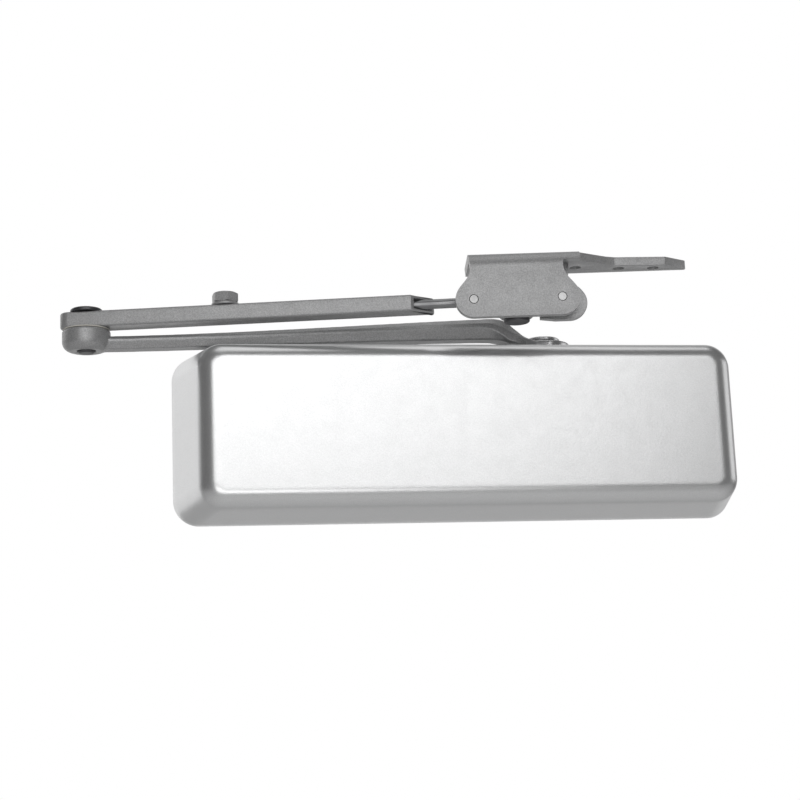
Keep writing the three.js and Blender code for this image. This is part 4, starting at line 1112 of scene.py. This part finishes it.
    def build_elbow(self, shop: Workshop, place: Placement) -> None:
        """Make the shouldered elbow pin and its washer.

        Args:
            shop: Where the pieces are dressed.
            place: The elbow's axis.
        """
        low, high = levels("elbow_pin")
        washer_low, washer_high = levels("elbow_washer")
        head_seat = high - 2 * MM
        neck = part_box("elbow_bush")
        neck_radius = (neck[1][0] - neck[0][0]) / 2 - 1.8 * MM
        pin = turned("elbow_pin_head", [(3.6 * MM, low), (4.8 * MM, low + 0.8 * MM),
                                        (4.8 * MM, washer_high), (neck_radius, washer_high),
                                        (neck_radius, head_seat), (8.6 * MM, head_seat),
                                        (8.6 * MM, high - 0.6 * MM), (7.9 * MM, high)],
                     (0, 0, 0), 0.35 * MM, place=place)
        shop.deliver(pin, "elbow_pin")
        thrust = washer("elbow_thrust_washer", 5.1 * MM, 12.3 * MM, washer_low, washer_high, (0, 0, 0),
                        0.2 * MM, place=place)
        shop.deliver(thrust, "elbow_washer")


@dataclass
class Forearm:
    """The rectangular tube, its clamp bolt, and the rod that slides in it to the pivot block."""

    width: float = 13 * MM
    wall: float = 1.4 * MM
    back: float = 13.8 * MM
    end_radius: float = 5.4 * MM
    front_end: float = 175.5 * MM
    rear_end: float = 187.6 * MM
    channel_start: float = 30 * MM
    edge: float = 1.1 * MM
    eye: float = 5.7 * MM
    across_flats: float = 12.7 * MM
    bolt_turn: float = 0.35
    rod_radius: float = 2.6 * MM
    block_radius: float = 9.4 * MM
    pin_bore: float = 5.9 * MM

    def tube(self, place: Placement, low: float, high: float, bolt_x: float) -> bpy.types.Object:
        """Make the tube: a round closed end at the elbow and a slanting open end.

        Args:
            place: The elbow's axis and the forearm's turn.
            low: Its underside.
            high: Its top.
            bolt_x: Distance from the elbow to the clamp bolt.

        Returns:
            The tube.
        """
        half = self.width / 2
        middle = self.end_radius - self.back
        outline = np.concatenate([
            fillet(np.array([[middle, half], [self.rear_end, half],
                             [self.front_end, -half], [middle, -half]]), 0.25 * MM, 3, closed=False),
            arc((middle, self.end_radius - half), self.end_radius, 270, 180, 14)[1:],
            arc((middle, half - self.end_radius), self.end_radius, 180, 90, 14)[:-1]])
        tube = slab("forearm_channel", outline, low, high, self.edge, place=place)
        inner = half - self.wall
        bore = fillet(rectangle((-inner, inner), (low + self.wall, high - self.wall)), 0.6 * MM, 4)
        channel = prism(bore, self.channel_start, self.rear_end + 5 * MM, Facing.SIDE, place)
        eye = drill(self.eye, low - PAST, high + PAST, (0, 0, 0), place=place)
        hole = drill(3.8 * MM, (low + high) / 2, high + PAST, (bolt_x, 0, 0), place=place)
        shape(tube, "DIFFERENCE", channel, eye, hole)
        return soften(tube, 0.2 * MM, 2, 50.0)

    def bolt(self, place: Placement, x: float) -> bpy.types.Object:
        """Make the hexagon bolt.

        The head's radius at an angle is half the flats over the cosine of the angle from the nearest flat,
        and never more than that of a thirty-degree cone that chamfers its top.

        Args:
            place: The elbow's axis and the forearm's turn.
            x: Distance from the elbow.

        Returns:
            The bolt.
        """
        low, high = levels("clamp_bolt")
        seat = high - 5.3 * MM
        angle = np.linspace(0, 2 * math.pi, 288, endpoint=False)
        flat = np.mod(angle - self.bolt_turn + math.pi / 6, math.pi / 3) - math.pi / 6
        hexagon = self.across_flats / 2 / np.cos(flat)
        height = np.concatenate([[seat + 0.05 * MM], np.linspace(seat + 0.5 * MM, high - 2 * MM, 6),
                                 np.linspace(high - 1.9 * MM, high, 20)])
        cone = 0.48 * self.across_flats + math.sqrt(3) * (high - height)
        foot = 0.5 * self.across_flats + 2.4 * (height - seat)
        radius = np.minimum(hexagon[None], np.minimum(cone, foot)[:, None])
        shank = np.array([[0.2 * MM, low], [3.3 * MM, low], [3.5 * MM, low + 0.2 * MM], [3.5 * MM, seat],
                          [6.1 * MM, seat]])
        dish = np.array([[5.2 * MM, high - 0.12 * MM], [0.3 * MM, high - 0.16 * MM]])
        radius = np.concatenate([np.repeat(shank[:, :1], 288, 1), radius, np.repeat(dish[:, :1], 288, 1)])
        height = np.concatenate([shank[:, 1], height, dish[:, 1]])
        rings = np.stack([x + radius * np.cos(angle), radius * np.sin(angle),
                          np.broadcast_to(height[:, None], radius.shape)], axis=-1)
        return solid_of_rings("clamp_bolt_head", place.apply(rings))

    def build(self, shop: Workshop) -> None:
        """Build the tube, bolt, washer, rod and block.

        Args:
            shop: Where the pieces are dressed.
        """
        elbow = joint_place("elbow_fold")
        swivel = joint_place("bracket_swivel")
        bolt = joint_place("clamp_bolt_turn")
        place = Placement(elbow[0], elbow[1], math.atan2(*(swivel - elbow)[1::-1]))
        reach = float(np.hypot(*(swivel - elbow)[:2]))
        bolt_x = float(np.hypot(*(bolt - elbow)[:2]))
        low, high = levels("forearm_tube")
        shop.deliver(self.tube(place, low, high, bolt_x), "forearm_tube")
        washer_low, washer_high = levels("bolt_washer")
        ring = washer("bolt_flange", 3.8 * MM, 7.4 * MM, washer_low, washer_high, (bolt_x, 0, 0), 0.45 * MM,
                      place=place)
        shop.deliver(ring, "bolt_washer")
        shop.deliver(self.bolt(place, bolt_x), "clamp_bolt", smooth=24.0)

        level = (low + high) / 2
        half_width = self.width / 2 - self.wall - GAP
        half_height = (high - low) / 2 - self.wall - GAP
        outline = rectangle((bolt_x - 25.4 * MM, bolt_x + 20.6 * MM), (-half_width, half_width))
        slider = slab("adjusting_bar", outline, level - half_height, level + half_height, 0.4 * MM,
                      place=place)
        rod_end = reach - 7.0 * MM
        profile = [(self.rod_radius, bolt_x + 19 * MM), (self.rod_radius, rod_end - 0.5 * MM),
                   (self.rod_radius - 0.5 * MM, rod_end)]
        bar = turned("tool", profile, (0, 0, level), 0.2 * MM, Facing.SIDE, 64, place)
        shape(slider, "UNION", bar)
        shop.deliver(slider, "adjusting_rod")

        block_low, block_high = levels("pivot_block")
        radius, chamfer = self.block_radius, 1.2 * MM
        profile = [(radius - chamfer, block_low), (radius, block_low + chamfer),
                   (radius, block_high - chamfer), (radius - chamfer, block_high)]
        block = turned("swivel_block", profile, (reach, 0, 0), 0.4 * MM, place=place)
        bore = drill(self.pin_bore, block_low - PAST, block_high + PAST, (reach, 0, 0), place=place)
        socket = drill(self.rod_radius + GAP, reach - radius - PAST, rod_end + GAP, (0, 0, level),
                       Facing.SIDE, place)
        shape(block, "DIFFERENCE", bore, socket)
        soften(block, 0.25 * MM, 2, 50.0)
        shop.deliver(block, "pivot_block")


# ------------------------------------------------------------------ the bracket
@dataclass
class Bracket:
    """The folded plate with its two lobes, the stop plate, rivets, spacer, bumper and swivel pin."""

    turn: float = math.radians(-8.5)
    plate: float = 4.5 * MM
    front: float = -14.5 * MM
    bend: float = 9 * MM
    lobe: float = 9.6 * MM
    rivet_x: float = 23.3 * MM
    rivet: float = 2.35 * MM
    neck: float = 24.6 * MM
    tongue_end: float = 95.5 * MM
    tongue_rear: float = 20 * MM
    screw_hole: float = 3.2 * MM
    pin: float = 3.9 * MM
    stop_front: float = -1 * MM
    stop_plate: float = 3 * MM
    stop_lobe: float = 28.5 * MM

    def side_curve(self, lobe_x: float, neck_x: float, level: float, top: float) -> np.ndarray:
        """Draw one side of a plate from its foot to its neck.

        A round lobe is followed by the cubic curve that leaves it and ends upright at the neck.

        Args:
            lobe_x: Middle of the lobe.
            neck_x: Half width of the neck.
            level: Height of the lobe's middle.
            top: Height of the plate's top.

        Returns:
            Points from the foot up.
        """
        lobe = arc((lobe_x, level), self.lobe, -90, 36, 32)
        knots = np.array([lobe[-1], [lobe_x + 5 * MM, level + 10 * MM], [neck_x - 1 * MM, level + 12 * MM],
                          [neck_x, top - 7 * MM]])
        t = np.linspace(0, 1, 17)[1:, None]
        curve = ((1 - t) ** 3 * knots[0] + 3 * t * (1 - t) ** 2 * knots[1]
                 + 3 * t * t * (1 - t) * knots[2] + t ** 3 * knots[3])
        return np.concatenate([lobe, curve, [[neck_x + 0.6 * MM, top]]])

    def folded_plate(self, place: Placement, top: float, level: float) -> bpy.types.Object:
        """Fold the plate and trim it to its outlines.

        Args:
            place: The swivel axis and the bracket's turn.
            top: Height of its top face.
            level: Height of the rivets.

        Returns:
            The plate.
        """
        foot, under = level - self.lobe, top - self.plate
        centre = (self.front + self.bend, top - self.bend)
        fold = np.concatenate([
            [[self.front, foot - 1 * MM]], arc(centre, self.bend, 180, 90, 40), [[self.tongue_rear, top]],
            [[self.tongue_rear, under]], arc(centre, self.bend - self.plate, 90, 180, 28),
            [[self.front + self.plate, foot - 1 * MM]]])
        edge = self.neck + self.lobe
        plate = prism(fold, -edge - PAST, self.tongue_end + PAST, Facing.SIDE, place)
        end, rear = self.tongue_end, self.tongue_rear
        plan = np.array([[-edge, self.front - 1 * MM], [edge, self.front - 1 * MM], [edge, -5.5 * MM],
                         [end - 45.5 * MM, 4.5 * MM], [end - 40.5 * MM, 6.4 * MM],
                         [end - 12.5 * MM, 8.4 * MM], [end, rear - 2.5 * MM], [end, rear], [-edge, rear]])
        plan_tool = prism(fillet(plan, 1.6 * MM, 6), foot - 2 * MM, top + PAST, place=place)
        right = self.side_curve(self.rivet_x, self.neck, level, top + 1 * MM)
        right = right[right[:, 1] <= under - 3 * MM]
        tongue = np.array([[self.neck + 0.4 * MM, under - 1 * MM], [end + 2 * MM, under - 1 * MM],
                           [end + 2 * MM, top + 1 * MM]])
        left_top = np.array([[-self.neck - 0.6 * MM, top + 1 * MM]])
        front = np.concatenate([right, tongue, left_top, right[::-1] * [-1.0, 1.0]])
        front_tool = prism(front, self.front - PAST, rear + PAST, Facing.FRONT, place)
        shape(plate, "INTERSECT", plan_tool, front_tool)
        places = [(-14 * MM, 9 * MM), (end - 61.5 * MM, 9 * MM), (end - 37.5 * MM, 13.2 * MM),
                  (end - 18.5 * MM, 14.4 * MM)]
        holes = [drill(self.screw_hole, under - PAST, top + PAST, (x, y, 0), place=place) for x, y in places]
        holes.append(drill(self.pin + GAP, under - PAST, top + PAST, (0, 0, 0), place=place))
        shape(plate, "DIFFERENCE", *holes)
        plate.name = "folded_bracket"
        soften(plate, 0.5 * MM, 3, 40.0)
        rivet_holes = [drill(self.rivet + 0.18 * MM, self.front - PAST, self.front + 6 * MM,
                             (side * self.rivet_x, 0, level), Facing.FRONT, place) for side in (-1, 1)]
        return shape(plate, "DIFFERENCE", *rivet_holes)

    def build(self, shop: Workshop) -> None:
        """Build every piece of the bracket.

        Args:
            shop: Where the pieces are dressed.
        """
        swivel = joint_place("bracket_swivel")
        place = Placement(swivel[0], swivel[1], self.turn)
        plate_low, top = levels("bracket_plate")
        level, under = plate_low + self.lobe, top - self.plate
        shop.deliver(self.folded_plate(place, top, level), "bracket_plate", smooth=38.0)

        inner = 12.4 * MM
        right = self.side_curve(self.stop_lobe, self.neck + 4 * MM, level, under - GAP)
        stop = np.concatenate([[[inner, plate_low + 1 * MM], [inner + 8 * MM, plate_low]], right,
                               [[inner, under - GAP]]])
        back = self.stop_front + self.stop_plate
        stop = fillet(stop, 0.15 * MM, 2)
        stop_piece = slab("stop_tab", stop, self.stop_front, back, 0.4 * MM, Facing.FRONT, place)
        hole = drill(self.rivet + GAP, self.stop_front - PAST, back + PAST, (self.rivet_x, 0, level),
                     Facing.FRONT, place)
        shape(stop_piece, "DIFFERENCE", hole)
        shop.deliver(stop_piece, "stop_plate")

        inside = self.front + self.plate + GAP
        for side, name, tail in ((-1, "left", inside + 2.9 * MM), (1, "right", back + GAP)):
            profile = [(self.rivet - 0.25 * MM, self.front - 0.15 * MM), (self.rivet, self.front + 0.1 * MM),
                       (self.rivet, tail), (self.rivet + 1.4 * MM, tail),
                       (self.rivet + 1.0 * MM, tail + 1 * MM)]
            rivet = turned(f"{name}_rivet_head", profile, (side * self.rivet_x, 0, level), 0.12 * MM,
                           Facing.FRONT, 64, place)
            shop.deliver(rivet, f"{name}_rivet")
        spacer = washer("spacer_sleeve", self.rivet + GAP, 6 * MM, inside, self.stop_front - GAP,
                        (self.rivet_x, 0, level), 0.4 * MM, Facing.FRONT, place)
        shop.deliver(spacer, "stop_spacer")
        bumper = washer("bumper_ring", self.rivet + GAP, 7.5 * MM, inside, inside + 2.6 * MM,
                        (-self.rivet_x, 0, level), 0.6 * MM, Facing.FRONT, place)
        shop.deliver(bumper, "bumper_disc")

        low, high = levels("swivel_pin")
        head_top = low + 2.1 * MM
        pin = turned("swivel_pin_head", [(6.4 * MM, low), (6.9 * MM, low + 0.5 * MM), (6.9 * MM, head_top),
                                         (self.pin, head_top), (self.pin, high - 0.5 * MM),
                                         (self.pin - 0.5 * MM, high)], (0, 0, 0), 0.3 * MM, place=place)
        shop.deliver(pin, "swivel_pin", "swivel_dark")
        ring_low, ring_high = levels("swivel_washer")
        ring = washer("swivel_ring", self.pin + GAP, 6.2 * MM, ring_low, ring_high, (0, 0, 0), 0.3 * MM,
                      place=place)
        shop.deliver(ring, "swivel_washer")


# ------------------------------------------------------------------ studio
@dataclass(frozen=True)
class SoftBox:
    """A rectangular studio light."""

    name: str
    place: tuple[float, float, float]
    aim: tuple[float, float, float]
    size: tuple[float, float]
    power: float
    spread: float = 180.0

    def build(self) -> None:
        """Hang the light and point it."""
        data = bpy.data.lights.new(self.name, "AREA")
        data.shape = "RECTANGLE"
        data.size, data.size_y = self.size
        data.energy = self.power
        data.spread = math.radians(self.spread)
        light = bpy.data.objects.new(self.name, data)
        bpy.context.scene.collection.objects.link(light)
        aim = Vector(self.aim) - Vector(self.place)
        turned_to_aim = aim.to_track_quat("-Z", "Y").to_matrix().to_4x4()
        light.matrix_world = Matrix.Translation(self.place) @ turned_to_aim


@dataclass
class Studio:
    """Floor, lights and camera."""

    floor_level: float = -1.1
    floor_size: float = 4.5
    floor_glow: float = 0.08
    place: tuple[float, float, float] = (-0.1942, -0.9264, -0.1698)
    yaw: float = 9.99
    pitch: float = 11.58
    roll: float = -2.25
    lens: float = 76.46
    backdrop: tuple[float, float, float] = (-0.15, 0.9, 0.08)

    def build_floor(self) -> None:
        """Lay a flat round floor of pale paper: rings of even spacing about the middle."""
        count = 12
        radius = np.linspace(0.02, self.floor_size, count)[:, None]
        angle = np.linspace(0, 2 * math.pi, 96, endpoint=False)[None, :]
        rings = np.stack([radius * np.cos(angle), radius * np.sin(angle),
                          np.full((count, 96), self.floor_level)], axis=-1)
        mesh = bpy.data.meshes.new("floor")
        faces = grid_faces(count, 96, False).tolist()
        faces.append(list(range(96))[::-1])
        mesh.from_pydata(rings.reshape(-1, 3).tolist(), [], faces)
        floor = bpy.data.objects.new("floor", mesh)
        bpy.context.scene.collection.objects.link(floor)
        nodes = Nodes("floor_paper")
        grain = nodes.noise(14.0, 3.0)
        nodes.set(Base_Color=nodes.blend(grain, (0.88, 0.88, 0.88), (0.85, 0.85, 0.852)), Roughness=0.9,
                  Emission_Color=(1.0, 1.0, 1.0, 1.0), Emission_Strength=self.floor_glow)
        mesh.materials.append(nodes.material)

    def build_lights(self) -> None:
        """Hang the soft boxes and set the surround, whose light comes mostly from a white sheet behind."""
        boxes = [
            SoftBox("key", (-0.17, -1.9, 0.62), (0.0, -0.05, 0.0), (2.2, 0.95), 6.0, 134.0),
            SoftBox("front", (-0.35, -1.8, -0.40), (0.0, -0.05, 0.0), (1.4, 0.6), 3.4, 150.0),
            SoftBox("right", (1.9, 0.1, 0.35), (0.0, -0.05, 0.0), (1.2, 0.9), 2.6),
            SoftBox("top", (0.1, -0.2, 1.6), (0.0, -0.05, 0.0), (1.6, 1.0), 4.0),
            SoftBox("left", (-1.4, 0.9, 0.9), (0.0, -0.05, 0.0), (0.9, 0.9), 1.4),
        ]
        for soft_box in boxes:
            soft_box.build()
        world = bpy.data.worlds.new("studio")
        bpy.context.scene.world = world
        world.use_nodes = True
        tree = world.node_tree
        tree.nodes.clear()
        path = tree.nodes.new("ShaderNodeLightPath")
        mix = tree.nodes.new("ShaderNodeMixShader")
        output = tree.nodes.new("ShaderNodeOutputWorld")
        lit, seen = (tree.nodes.new("ShaderNodeBackground") for _ in range(2))
        tree.links.new(lit.outputs["Background"], mix.inputs[1])
        tree.links.new(seen.outputs["Background"], mix.inputs[2])
        direction = tree.nodes.new("ShaderNodeTexCoord").outputs["Generated"]
        toward = tree.nodes.new("ShaderNodeVectorMath")
        toward.operation = "DOT_PRODUCT"
        toward.inputs[1].default_value = Vector(self.backdrop).normalized()
        tree.links.new(direction, toward.inputs[0])
        glow = tree.nodes.new("ShaderNodeMapRange")
        glow.inputs["From Min"].default_value = 0.35
        glow.inputs["To Min"].default_value = 0.12
        tree.links.new(toward.outputs["Value"], glow.inputs["Value"])
        tree.links.new(glow.outputs["Result"], lit.inputs["Strength"])
        lit.inputs["Color"].default_value = (1.0, 1.0, 1.0, 1.0)
        seen.inputs["Color"].default_value = (1.0, 1.0, 1.0, 1.0)
        tree.links.new(path.outputs["Is Camera Ray"], mix.inputs[0])
        tree.links.new(mix.outputs["Shader"], output.inputs["Surface"])

    def build_camera(self) -> None:
        """Stand the camera below and to the left of the closer, tipped up and rolled a little."""
        yaw, pitch, roll = (math.radians(a) for a in (self.yaw, self.pitch, self.roll))
        ahead = Vector((math.sin(yaw) * math.cos(pitch), math.cos(yaw) * math.cos(pitch), math.sin(pitch)))
        level = Vector((math.cos(yaw), -math.sin(yaw), 0.0))
        up = level.cross(ahead)
        right = math.cos(roll) * level + math.sin(roll) * up
        up = math.cos(roll) * up - math.sin(roll) * level
        data = bpy.data.cameras.new("camera")
        data.lens = self.lens
        data.sensor_width = 36.0
        camera = bpy.data.objects.new("camera", data)
        turn = Matrix((right, up, -ahead)).transposed().to_4x4()
        camera.matrix_world = Matrix.Translation(self.place) @ turn
        bpy.context.scene.collection.objects.link(camera)
        bpy.context.scene.camera = camera

    def build(self) -> None:
        """Build the floor, the lights and the camera, and keep the greys neutral."""
        self.build_floor()
        self.build_lights()
        self.build_camera()
        bpy.context.scene.view_settings.view_transform = "Standard"


def main() -> None:
    """Build the closer and its studio."""
    logging.basicConfig(level=logging.INFO, format="%(name)s: %(message)s")
    Studio().build()
    shop = Workshop()
    for assembly in (Cover(), Casting(), ClosingSpring(), MainArm(), Forearm(), Bracket()):
        assembly.build(shop)
    shop.dress_rest()


if __name__ == "__main__":
    main()
